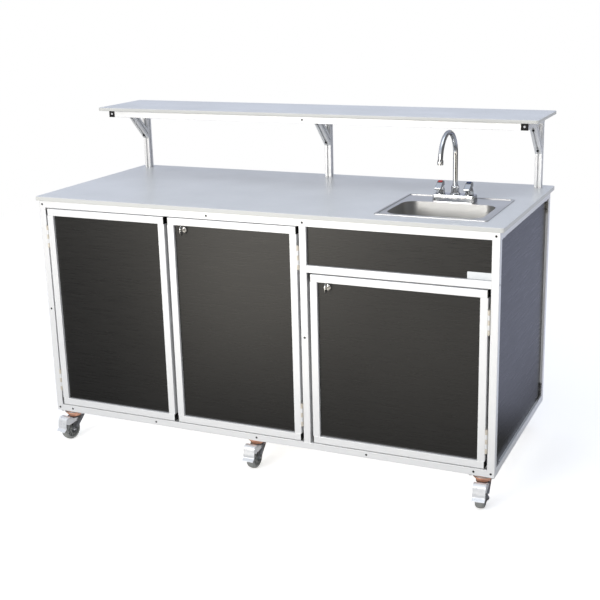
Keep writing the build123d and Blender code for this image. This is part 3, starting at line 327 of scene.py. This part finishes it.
def dress_bars(mesh):
    """Gives each bar of a mesh the die lines that run along it."""
    mesh.materials.clear()
    for axis in "xyz":
        mesh.materials.append(BAR_LOOKS[axis])
    mesh.materials.append(HINGE_LOOK)
    for faces in solids(mesh):
        points = [mesh.vertices[v].co for f in faces for v in mesh.polygons[f].vertices]
        spans = [max(p[i] for p in points) - min(p[i] for p in points) for i in range(3)]
        index = spans.index(max(spans))
        if sorted(spans)[1] < 24 * MM:
            index = 3
        for f in faces:
            mesh.polygons[f].material_index = index


def dress(name, node):
    """Swaps a CAD node's plain material for its finish."""
    slot = node.material_slots[0].material.name
    if slot == "aluminium_bar":
        dress_bars(node.data)
    else:
        node.material_slots[0].material = OWN_LOOKS.get(name, LOOKS[slot])


for node_name, node_object in NODES.items():
    dress(node_name, node_object)


# ---------------------------------------------------------------- small shapes


def circle(radius, height, sides=32):
    """A level ring of points, counter-clockwise."""
    turns = [2 * math.pi * i / sides for i in range(sides)]
    return [Vector((radius * math.cos(a), radius * math.sin(a), height)) for a in turns]


def lobed(radius, rise, lobes, height):
    """A ring of points with rounded flutes."""
    count = lobes * 6
    ring = []
    for i in range(count):
        a = 2 * math.pi * i / count
        r = radius + rise * abs(math.sin(a * lobes / 2))
        ring.append(Vector((r * math.cos(a), r * math.sin(a), height)))
    return ring


def rounded(width, depth, radius, height, steps=4):
    """A level rounded rectangle, counter-clockwise."""
    ring = []
    for corner, (sx, sy) in enumerate(((1, 1), (-1, 1), (-1, -1), (1, -1))):
        centre = Vector((sx * (width / 2 - radius), sy * (depth / 2 - radius), height))
        for i in range(steps + 1):
            a = math.pi / 2 * (corner + i / steps)
            ring.append(centre + Vector((radius * math.cos(a), radius * math.sin(a), 0)))
    return ring


def loft(rings, closed=False):
    """Skins a run of equal rings; its ends are capped, or joined to each other when closed."""
    count = len(rings[0])
    points = [p for ring in rings for p in ring]
    faces = []
    for k in range(len(rings) - (0 if closed else 1)):
        a, b = k * count, (k + 1) % len(rings) * count
        for i in range(count):
            j = (i + 1) % count
            faces.append((a + i, a + j, b + j, b + i))
    if not closed:
        faces.append(tuple(reversed(range(count))))
        faces.append(tuple(range(len(points) - count, len(points))))
    return points, faces


def turned(profile, sides=32, closed=False):
    """A profile of (radius, height) turned about Z."""
    return loft([circle(r, h, sides) for r, h in profile], closed)


def plate(width, depth, height, radius, edge):
    """A rounded plate on z = 0 with chamfered edges."""
    inner = (width - 2 * edge, depth - 2 * edge, radius - edge / 2)
    return loft(
        [
            rounded(*inner, 0),
            rounded(width, depth, radius, edge),
            rounded(width, depth, radius, height - edge),
            rounded(*inner, height),
        ]
    )


def tube(path, radius, sides=10, closed=False):
    """A round bar along a path of points."""
    rings = []
    side = None
    count = len(path)
    for i, point in enumerate(path):
        before = path[i - 1] if i or closed else point
        after = path[(i + 1) % count] if i + 1 < count or closed else point
        ahead = (after - before).normalized()
        side = ahead.orthogonal() if side is None else side
        side = (side - ahead * side.dot(ahead)).normalized()
        other = ahead.cross(side)
        turns = [2 * math.pi * k / sides for k in range(sides)]
        rings.append([point + radius * (math.cos(a) * side + math.sin(a) * other) for a in turns])
    return loft(rings, closed)


def turn(axis, degrees):
    return Matrix.Rotation(math.radians(degrees), 4, axis)


def move(*offset):
    return Matrix.Translation(Vector(offset))


def mm(profile):
    """A profile given in millimetres, in metres."""
    return [(r * MM, h * MM) for r, h in profile]


def fluted(radius, rises, lobes):
    """A fluted ring lofted through (rise, height) pairs in millimetres."""
    return loft([lobed(radius, rise * MM, lobes, h * MM) for rise, h in rises])


def hoop(width, depth, radius, section, reach):
    """A raised band around a rounded box; section holds (growth, height) pairs in millimetres."""
    outer = [rounded(width + grow * MM, depth + grow * MM, radius, h * MM, 6) for grow, h in section]
    inside = (width - 3 * MM, depth - 3 * MM, radius - 1 * MM)
    inner = [rounded(*inside, h * MM, 6) for h in (reach, -reach)]
    return loft(outer + inner, closed=True)


class Shape:
    """Several closed shapes that make one piece."""

    def __init__(self):
        self.points = []
        self.faces = []

    def add(self, shape, matrix=Matrix()):
        start = len(self.points)
        points, faces = shape
        self.points += [matrix @ p for p in points]
        self.faces += [tuple(start + i for i in face) for face in faces]
        return self

    def build(self, name, body, look, sharp=38):
        """Makes the piece and lets it ride its body."""
        mesh = bpy.data.meshes.new(name)
        mesh.from_pydata([tuple(p) for p in self.points], [], self.faces)
        work = bmesh.new()
        work.from_mesh(mesh)
        bmesh.ops.recalc_face_normals(work, faces=work.faces)
        work.to_mesh(mesh)
        work.free()
        mesh.materials.append(look)
        for face in mesh.polygons:
            face.use_smooth = True
        mesh.set_sharp_from_angle(angle=math.radians(sharp))
        made = bpy.data.objects.new(name, mesh)
        bpy.context.scene.collection.objects.link(made)
        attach(made, body)
        return made


def box_of(node):
    """(lowest corner, highest corner, centre) of a CAD node."""
    low, high = (Vector(c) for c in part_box(node))
    return low, high, (low + high) / 2


JOINTS = {joint["name"]: joint for joint in frame["record"]["behaviour"]["joints"]}
BAR = 25.4 * MM
FRAME_LOW, FRAME_HIGH = box_of("frame_posts")[:2]
CHROME = LOOKS["faucet_chrome"]
STEEL = LOOKS["bright_steel"]
ZINC = LOOKS["zinc_plate"]
STAINLESS = LOOKS["stainless"]


# ---------------------------------------------------------------- sink and faucet details

strainer_high, strainer_mid = box_of("basket_strainer")[1:]
drain = move(strainer_mid.x, strainer_mid.y, strainer_high.z - 0.8 * MM)
knob = [(3, -8), (3, -5), (2.2, -4), (2.2, 0), (5.5, 1), (6.5, 2.5), (6.2, 4), (4.5, 5), (1.5, 5.3)]
basket = Shape()
basket.add(turned(mm(knob)), drain)
for angle in (0, 60, 120):
    rib = plate(44 * MM, 1.8 * MM, 1.6 * MM, 0.8 * MM, 0.3 * MM)
    basket.add(rib, drain @ turn("Z", angle) @ move(0, 0, -8.2 * MM))
basket.build("strainer_basket_knob_and_ribs", "cabinet", STAINLESS)

CLIP_REACH = 171.5 * MM
CLIP_PITCH = 110 * MM
CLIP_DROP = 9 * MM
CLIP_T = 3 * MM
sink_mid = box_of("sink_bowl")[2]
clips = Shape()
for side_x in (-1, 1):
    for step_y in (-1, 0, 1):
        foot = move(sink_mid.x + side_x * CLIP_REACH, sink_mid.y + step_y * CLIP_PITCH, FRAME_HIGH.z - CLIP_DROP)
        clips.add(plate(14 * MM, 20 * MM, CLIP_T, 2 * MM, 0.5 * MM), foot)
        clips.add(turned(mm([(3, 0), (3, 18)]), 16), foot @ move(0, 0, CLIP_T))
clips.build("sink_mounting_clips", "cabinet", ZINC)

body_low, body_high, body_mid = box_of("faucet_body")
spout_low, spout_high = box_of("spout")[:2]
COLLAR_R = 13 * MM
SPOUT_R = 8.2 * MM
AERATOR_R = 9.6 * MM
AERATOR_DROP = 7 * MM
HANDLE_AXIS_INSET = 13.5 * MM
riser = Vector((body_mid.x, spout_high.y - COLLAR_R, body_high.z))
tip_y = spout_low.y + AERATOR_R
arch_r = (riser.y - tip_y) / 2
arch_z = spout_high.z - arch_r - SPOUT_R

collar = Shape()
collar.add(fluted(COLLAR_R - 0.1 * MM, ((0, 1.2), (1.1, 2), (1.1, 7), (0, 7.8)), 18), move(*riser))
neck = [(12.6, 8.9), (11.5, 10.6), (9.2, 11.4), (9, 14), (8.3, 14.5)]
collar.add(turned(mm(neck)), move(*riser))
collar.build("spout_collar_flutes", "spout", CHROME)

mouth = move(riser.x, tip_y, arch_z - AERATOR_DROP)
aerator = Shape()
aerator.add(fluted(AERATOR_R, ((0, 3), (0.5, 3.6), (0.5, 8.4), (0, 9)), 24), mouth)
lip = [(9.8, 11), (10.4, 11.6), (10.4, 13), (9.8, 13.6), (8.4, 13.6), (8.4, 11)]
aerator.add(turned(mm(lip), closed=True), mouth)
aerator.build("spout_aerator_grip", "spout", CHROME)

escutcheons = Shape()
SIDE_HUB_H = 12 * MM
MID_HUB_H = 18 * MM
base_top = body_high.z - MID_HUB_H
side_step = [(15.6, 0.1), (15.6, 2.2), (14.6, 3.2), (13.8, 3.4), (13.8, 0.1)]
for node in ("hot_handle", "cold_handle"):
    high, mid = box_of(node)[1:]
    at_hub = move(mid.x, high.y - HANDLE_AXIS_INSET, base_top)
    escutcheons.add(turned(mm(side_step), closed=True), at_hub)
mid_step = [(17.5, 0.1), (17.5, 3), (16, 4.4), (14.6, 4.8), (13.8, 4.8), (13.8, 0.1)]
escutcheons.add(turned(mm(mid_step), closed=True), move(riser.x, riser.y, base_top))
escutcheons.build("faucet_escutcheons", "cabinet", CHROME)

INDEX = {
    "hot_handle": painted("hot_index_red", (0.42, 0.02, 0.025), (0.52, 0.03, 0.03), 0.25),
    "cold_handle": painted("cold_index_blue", (0.015, 0.03, 0.10), (0.02, 0.045, 0.14), 0.25),
}
LEVER_SLOPE = 17
for node, look in INDEX.items():
    high, mid = box_of(node)[1:]
    on_top = move(mid.x, high.y - 17.5 * MM, high.z - 1.9 * MM) @ turn("X", LEVER_SLOPE)
    pad = Shape().add(plate(15 * MM, 12 * MM, 1.4 * MM, 3.5 * MM, 0.5 * MM), on_top)
    pad.build(f"{node}_index", node, look)
    bead = turned(mm([(14.1, 0.2), (14.1, 1.8), (13.2, 2.6)]))
    skirt = Shape().add(bead, move(mid.x, high.y - HANDLE_AXIS_INSET, base_top + SIDE_HUB_H + 0.1 * MM))
    skirt.build(f"{node}_skirt", node, CHROME)


# ---------------------------------------------------------------- locks, caps, plate and screws

for door in ("middle", "right"):
    barrel_low, barrel = box_of(f"{door}_lock_body")[::2]
    face = move(barrel.x, barrel_low.y, barrel.z) @ turn("X", 90)
    ring = [(10.1, -2), (10.1, -0.4), (9.2, 0.5), (7.6, 0.9), (5.7, 0.9), (5.7, -2)]
    rim = Shape().add(turned(mm(ring), closed=True), face)
    rim.build(f"{door}_lock_rim", f"{door}_door", STEEL)

shelf_low, shelf_high = box_of("shelf_frame")[:2]
CAP_DOT = painted("cap_plug_grey", (0.42, 0.42, 0.43), (0.55, 0.55, 0.56), 0.45)
dots = Shape()
dot = turned(mm([(4.2, -0.8), (4.2, 0.1), (3.6, 0.35), (1.4, 0.1)]), 24)
for x in (shelf_low.x + BAR / 2, shelf_high.x - BAR / 2):
    dots.add(dot, move(x, shelf_low.y - 0.02 * MM, shelf_high.z - BAR / 2) @ turn("X", 90))
dots.build("arm_cap_centres", "cabinet", CAP_DOT)

SIGN = painted("name_plate_face", (0.60, 0.62, 0.63), (0.72, 0.73, 0.73), 0.35)
NODES["name_plate"].material_slots[0].material = SIGN

# The screw sockets are thin dark hex discs laid on the screw heads: painted shade that stands for the hex recesses.
SOCKET_SHADE = painted("screw_socket_painted_shade", (0.008, 0.008, 0.008), (0.016, 0.016, 0.016), 0.5)
SCREW_AT = (14 * MM, 40 * MM)
HEAD_TOP = 4.75 * MM
BRACKET_INSET = 5 * MM
socket = turned(mm([(2.0, -0.3), (2.0, 0.04), (1.9, 0.06)]), 6)
socket_shades = Shape()
for x in (FRAME_LOW.x + BRACKET_INSET, FRAME_HIGH.x - BRACKET_INSET):
    for reach in SCREW_AT:
        for y in (FRAME_LOW.y + BAR + reach, FRAME_HIGH.y - BAR - reach):
            socket_shades.add(socket, move(x, y, FRAME_LOW.z + BAR + HEAD_TOP))
            socket_shades.add(socket, move(x, y, FRAME_HIGH.z - BAR - HEAD_TOP) @ turn("X", 180))
        for z in (FRAME_LOW.z + BAR + reach, FRAME_HIGH.z - BAR - reach):
            socket_shades.add(socket, move(x, FRAME_LOW.y + BAR + HEAD_TOP, z) @ turn("X", -90))
            socket_shades.add(socket, move(x, FRAME_HIGH.y - BAR - HEAD_TOP, z) @ turn("X", 90))
socket_shades.build("bracket_screw_socket_shades", "cabinet", SOCKET_SHADE)


# ---------------------------------------------------------------- casters

WHEEL_RIB = painted("wheel_web_grey", (0.20, 0.205, 0.20), (0.27, 0.275, 0.265), 0.5)


def along_axis(joint_name):
    """A frame whose Z runs along a joint's axis, at the joint."""
    joint = JOINTS[joint_name]
    axis = Vector(joint["axis"])
    return Matrix.Translation(Vector(joint["pos_m"])) @ axis.to_track_quat("Z", "Y").to_matrix().to_4x4()


WEB_RIBS = 10
BOTH_FACES = (0, 180)
for end in ("front", "rear"):
    for side in ("left", "middle", "right"):
        hub = along_axis(f"{end}_{side}_roll")
        web = Shape()
        for face_side in BOTH_FACES:
            outward = hub @ turn("X", face_side)
            for k in range(WEB_RIBS):
                rib = plate(10 * MM, 2.2 * MM, 5.5 * MM, 0.8 * MM, 0.3 * MM)
                web.add(rib, outward @ turn("Z", 360 / WEB_RIBS * k) @ move(20.4 * MM, 0, 7.9 * MM))
            lip = [(27.6, 14.9), (27.6, 15.4), (29, 15.7), (30.4, 15.4), (30.4, 14.9)]
            web.add(turned(mm(lip), 48, closed=True), outward)
        web.build(f"{end}_{side}_wheel_web", f"{end}_{side}_wheel", WHEEL_RIB)
        bolt = Shape()
        for face_side in BOTH_FACES:
            outward = hub @ turn("X", face_side)
            washer = [(11, 20.05), (11, 21.2), (10.4, 21.5), (9.2, 21.5), (9.2, 20.05)]
            bolt.add(turned(mm(washer), closed=True), outward)
            dome = [(6.4, 23.9), (6.2, 25.4), (5, 26.8), (3, 27.5), (1, 27.7)]
            bolt.add(turned(mm(dome)), outward)
        bolt.build(f"{end}_{side}_axle_washers_and_domes", f"{end}_{side}_caster", ZINC)
        swivel = along_axis(f"{end}_{side}_swivel")
        top = move(swivel.translation.x, swivel.translation.y, 0)
        groove = [(35.9, 109.2), (37, 110), (37.4, 111.4), (37, 112.8), (35.9, 113.6), (34, 113.6), (34, 109.2)]
        rim = Shape().add(turned(mm(groove), 48, closed=True), top)
        rim.build(f"{end}_{side}_race_rim", "cabinet", ZINC)

for side in ("left", "middle", "right"):
    pivot = along_axis(f"front_{side}_brake_pedal")
    heads = Shape()
    for face_side in BOTH_FACES:
        head = [(3.6, 23.8), (3.6, 24.6), (2.8, 25.4), (1, 25.7)]
        heads.add(turned(mm(head), 20), pivot @ turn("X", face_side))
    heads.build(f"front_{side}_pivot_heads", f"front_{side}_caster", ZINC)


# ---------------------------------------------------------------- tanks, pump, heater and hose ends

TANK = LOOKS["tank_plastic"]
CAP_BLUE = painted("tank_cap_blue", (0.02, 0.07, 0.22), (0.03, 0.10, 0.28), 0.36)
CAP_GREY = painted("tank_cap_grey", (0.10, 0.10, 0.105), (0.15, 0.15, 0.155), 0.4)
NECKS = {"fresh_tank": (140 * MM, 130 * MM, CAP_BLUE), "waste_tank": (145 * MM, 130 * MM, CAP_GREY)}
CAP_R = 30 * MM
NECK_H = 24 * MM
TANK_CORNER_R = 24 * MM
for node, (neck_x, neck_y, cap_look) in NECKS.items():
    low, high, mid = box_of(node)
    shoulder = high.z - NECK_H
    ribs = fluted(CAP_R - 0.2 * MM, ((0, 1), (1.3, 2), (1.3, 17), (0, 18.5)), 30)
    crown = Shape().add(ribs, move(low.x + neck_x, low.y + neck_y, shoulder + 3 * MM))
    crown.build(f"{node}_cap_ribs", "cabinet", cap_look)
    bands = Shape()
    width, depth = high.x - low.x, high.y - low.y
    band = hoop(width, depth, TANK_CORNER_R, ((-1, -5), (1.6, -3), (1.6, 3), (-1, 5)), 5)
    for share in (0.24, 0.5, 0.76):
        bands.add(band, move(mid.x, mid.y, low.z + share * (shoulder - low.z)))
    bands.build(f"{node}_moulded_bands", "cabinet", TANK)
    grip_x = low.x + neck_x + 72 * MM
    bow = []
    for i in range(17):
        a = math.pi * i / 16
        rise = shoulder - 4 * MM + 30 * MM * math.sin(a) ** 0.6
        bow.append(Vector((grip_x, mid.y - 55 * MM * math.cos(a), rise)))
    Shape().add(tube(bow, 7 * MM, 14)).build(f"{node}_carrying_grip", "cabinet", TANK)

pump_low, pump_high, pump_mid = box_of("pump")
PUMP = LOOKS["pump_black"]
motor = move(pump_low.x + 105 * MM, pump_mid.y, pump_low.z + 50 * MM) @ turn("Y", 90)
fins = Shape()
FIN_PITCH = 8 * MM
FIRST_FIN = -18 * MM
for k in range(9):
    fin = turned(mm([(37.5, 0), (41, 0.4), (41, 2.2), (37.5, 2.6)]), 48)
    fins.add(fin, motor @ move(0, 0, FIRST_FIN + FIN_PITCH * k))
end_cap = [(38, 54), (37.5, 57), (33, 60), (20, 61.5), (6, 61.5)]
fins.add(turned(mm(end_cap), 48), motor)
fins.build("pump_motor_fins", "cabinet", PUMP)
feet = Shape()
for dx in (12, 168):
    for dy in (18, 102):
        at_foot = move(pump_low.x + dx * MM, pump_low.y + dy * MM, pump_low.z + 8 * MM)
        feet.add(turned(mm([(6, 0), (6, 1.2), (4, 1.6), (4, 4), (3, 5)]), 6), at_foot)
feet.build("pump_foot_screws", "cabinet", STEEL)
switch = Shape()
at_switch = move(pump_low.x + 37 * MM, pump_mid.y, pump_high.z - 0.2 * MM)
switch.add(plate(34 * MM, 44 * MM, 5 * MM, 4 * MM, 1 * MM), at_switch)
switch.add(turned(mm([(9, 5), (9, 10), (7, 12)]), 24), at_switch)
switch.build("pump_pressure_switch", "cabinet", PUMP)

heat_low, heat_high, heat_mid = box_of("water_heater")
dial = Shape()
at_dial = move(heat_mid.x, heat_low.y, heat_low.z + 60 * MM) @ turn("X", 90)
dial.add(turned(mm([(26, -0.5), (26, 1.5), (24, 2.5), (19, 2.5)]), 40), at_dial)
dial.add(fluted(15 * MM, ((0.8, 2.2), (0.8, 14), (0, 15.5)), 16), at_dial)
dial.build("heater_thermostat_knob", "cabinet", LOOKS["black_plastic"])
seam = Shape()
width, depth = heat_high.x - heat_low.x, heat_high.y - heat_low.y
band = hoop(width, depth, 20 * MM, ((-1, -3), (1.4, -2), (1.4, 2), (-1, 3)), 3)
for z in (heat_low.z + 14 * MM, heat_high.z - 34 * MM):
    seam.add(band, move(heat_mid.x, heat_mid.y, z))
seam.build("heater_seam_bands", "cabinet", LOOKS["heater_white"])
unions = Shape()
union = turned(mm([(10.5, 0), (10.5, 10), (9.4, 11), (6.4, 11), (6.4, 0)]), 6, closed=True)
ferrule = turned(mm([(12.5, -12), (12.5, -9.5), (11, -8.5), (9.2, -8.5), (9.2, -12)]), 24, closed=True)
for dx in (50, 220):
    at_union = move(heat_low.x + dx * MM, heat_low.y + 45 * MM, heat_high.z + 0.5 * MM)
    unions.add(union, at_union)
    unions.add(ferrule, at_union)
for node in ("hot_handle", "cold_handle"):
    high, mid = box_of(node)[1:]
    unions.add(union, move(mid.x, high.y - HANDLE_AXIS_INSET, body_low.z - 12.4 * MM))
unions.build("hose_union_nuts", "cabinet", STEEL)

drain_low, drain_high = box_of("drain_hose")[:2]
waste_low = box_of("waste_tank")[0]
waste_neck = NECKS["waste_tank"]
strap = turned(mm([(18.45, -5), (19.5, -5), (19.5, 5), (18.45, 5)]), 40, closed=True)
clamps = Shape()
for x, y, z in (
    (strainer_mid.x, strainer_mid.y, drain_high.z - 12 * MM),
    (waste_low.x + waste_neck[0], waste_low.y + waste_neck[1], drain_low.z + 32 * MM),
):
    clamps.add(strap, move(x, y, z))
    worm = plate(14 * MM, 8 * MM, 7 * MM, 2 * MM, 0.6 * MM)
    clamps.add(worm, move(x, y - 19 * MM, z) @ turn("X", 90) @ move(0, 0, -1 * MM))
clamps.build("drain_hose_clamps", "cabinet", STAINLESS)


# ---------------------------------------------------------------- stage, light and camera


def sheet(name, corners):
    """A flat four-cornered mesh."""
    mesh = bpy.data.meshes.new(name)
    mesh.from_pydata(corners, [], [tuple(range(len(corners)))])
    made = bpy.data.objects.new(name, mesh)
    bpy.context.scene.collection.objects.link(made)
    return made


def floor_look():
    """Pale floor for the camera; what glossy surfaces see in it is darker and uneven, as in a real room."""
    s = Shader("pale_floor")
    tree = s.tree
    coords = s.node("TexCoord").outputs["Object"]
    far = s.node("VectorMath", {0: coords}, operation="LENGTH").outputs["Value"]
    diffuse = s.node("BsdfDiffuse", {"Color": (0.86, 0.86, 0.86, 1)})
    lift = s.node("Emission", {"Color": (1, 0.985, 0.955, 1), "Strength": 0.48})
    seen = s.node("AddShader", {0: diffuse.outputs[0], 1: lift.outputs[0]})
    white = s.node("Emission", {"Color": (1, 1, 1, 1), "Strength": 1.0})
    fade = s.range(far, 2.2, 5.0)
    seen = s.node("MixShader", {0: fade, 1: seen.outputs[0], 2: white.outputs[0]})
    # Reflections: dark near the cabinet, brighter and warm ahead of the middle door, cool at the right and back
    split = s.node("SeparateXYZ", {0: coords})
    x, y = split.outputs["X"], split.outputs["Y"]
    slant = s.sum("SUBTRACT", x, s.sum("MULTIPLY", s.sum("ADD", y, 2.0), 0.6))
    across = s.sum("MULTIPLY", s.range(slant, -1.65, -0.95), s.range(x, -0.9, -0.2, 1, 0.5))
    right_far = s.sum("MULTIPLY", s.range(y, -2.6, -3.2), s.range(x, -1.5, -0.9))
    across = s.sum("MULTIPLY", across, s.range(right_far, 0, 1, 1, 0.06))
    ahead = s.sum("MULTIPLY", across, s.range(y, -0.4, -3.2))
    warm = s.mix(ahead, (0.065, 0.065, 0.065), (3.5, 3.3, 2.95))
    beside = s.sum("MULTIPLY", s.range(x, 0.85, 1.12), s.range(x, 3.4, 2.6))
    cool = s.mix(s.sum("MULTIPLY", beside, s.range(y, 0.22, 0.6)), warm, (0.55, 0.585, 0.76))
    mirrored = s.node("Emission", {"Color": cool, "Strength": 1.0})
    glossy = s.node("LightPath").outputs["Is Glossy Ray"]
    both = s.node("MixShader", {0: glossy, 1: seen.outputs[0], 2: mirrored.outputs[0]})
    tree.links.new(both.outputs[0], tree.nodes["Material Output"].inputs["Surface"])
    return s.material


FLOOR_HALF = 250.0
floor = sheet("floor", [(x * FLOOR_HALF, y * FLOOR_HALF, 0) for x, y in ((-1, -1), (1, -1), (1, 1), (-1, 1))])
floor.data.materials.append(floor_look())


def build_world():
    """White behind the object; around it a bright front, a cool back and a darker right."""
    world = bpy.data.worlds.new("studio")
    bpy.context.scene.world = world
    world.use_nodes = True
    tree = world.node_tree
    tree.nodes.clear()

    def node(kind, inputs=None, **settings):
        made = tree.nodes.new("ShaderNode" + kind)
        for key, value in settings.items():
            setattr(made, key, value)
        for key, value in (inputs or {}).items():
            if isinstance(value, bpy.types.NodeSocket):
                tree.links.new(value, made.inputs[key])
            else:
                made.inputs[key].default_value = value
        return made

    coords = node("TexCoord").outputs["Generated"]
    split = node("SeparateXYZ", {0: coords})
    front = node("MapRange", {"Value": split.outputs["Y"], "From Min": 0.25, "From Max": -0.55}).outputs[0]
    up = node("MapRange", {"Value": split.outputs["Z"], "From Min": 0.15, "From Max": 0.75}).outputs[0]
    side = node("MixRGB", {"Fac": front, "Color1": (0.81, 0.86, 1.03, 1), "Color2": (1.0, 0.985, 0.955, 1)}).outputs[0]
    sky = node("MixRGB", {"Fac": up, "Color1": side, "Color2": (0.50, 0.55, 0.64, 1)}).outputs[0]
    low = node("MapRange", {"Value": split.outputs["Z"], "From Min": 0.34, "From Max": 0.10}).outputs[0]
    low_front = node("Math", {0: low, 1: front}, operation="MULTIPLY").outputs[0]
    glossy_sky = node("MixRGB", {"Fac": low_front, "Color1": sky, "Color2": (0.10, 0.10, 0.10, 1)}).outputs[0]
    right = node("MapRange", {"Value": split.outputs["X"], "From Min": 0.25, "From Max": 0.55}).outputs[0]
    glossy_sky = node("MixRGB", {"Fac": right, "Color1": glossy_sky, "Color2": (0.13, 0.13, 0.135, 1)}).outputs[0]
    glossy = node("LightPath").outputs["Is Glossy Ray"]
    lit = node("MixRGB", {"Fac": glossy, "Color1": sky, "Color2": glossy_sky}).outputs[0]
    around = node("Background", {"Color": lit, "Strength": 1.0})
    white = node("Background", {"Color": (1, 1, 1, 1), "Strength": 1.0})
    camera_ray = node("LightPath").outputs["Is Camera Ray"]
    both = node("MixShader", {0: camera_ray, 1: around.outputs[0], 2: white.outputs[0]})
    out = node("OutputWorld")
    tree.links.new(both.outputs[0], out.inputs["Surface"])


def area_light(name, place, target, size, power, colour=(1, 1, 1)):
    """A soft rectangular light aimed at a point."""
    light = bpy.data.lights.new(name, "AREA")
    light.shape = "RECTANGLE"
    light.size, light.size_y = size
    light.energy = power
    light.color = colour
    made = bpy.data.objects.new(name, light)
    made.location = place
    made.rotation_euler = (Vector(target) - Vector(place)).to_track_quat("-Z", "Y").to_euler()
    bpy.context.scene.collection.objects.link(made)
    return made


build_world()
centre = (CAD_BOX[0] + CAD_BOX[1]) / 2
area_light("key", (-1.3, -4.8, 2.2), centre, (2.6, 1.8), 134, (1.0, 0.985, 0.96))
area_light("top", (0.6, -0.8, 4.2), centre, (3.0, 2.2), 18, (0.92, 0.96, 1.0))

# Camera: where the photograph was taken from
CAMERA_AT = Vector((1.6511, -3.5635, 1.6846))
YAW, PITCH, ROLL = (math.radians(a) for a in (23.50, -15.61, -1.189))


def build_camera():
    """The camera looks along yaw, then pitch, then rolls about its line of sight."""
    ahead = Vector((-math.sin(YAW) * math.cos(PITCH), math.cos(YAW) * math.cos(PITCH), math.sin(PITCH)))
    level = Vector((math.cos(YAW), math.sin(YAW), 0))
    above = level.cross(ahead)
    right = math.cos(ROLL) * level + math.sin(ROLL) * above
    up = math.cos(ROLL) * above - math.sin(ROLL) * level
    data = bpy.data.cameras.new("camera")
    data.sensor_width = 36
    data.lens = 65.17
    data.shift_x = -0.0347
    data.shift_y = -0.0197
    data.clip_end = 500
    made = bpy.data.objects.new("camera", data)
    made.matrix_world = Matrix((right, up, -ahead)).transposed().to_4x4()
    made.location = CAMERA_AT
    bpy.context.scene.collection.objects.link(made)
    bpy.context.scene.camera = made


build_camera()
bpy.context.scene.view_settings.view_transform = "Standard"
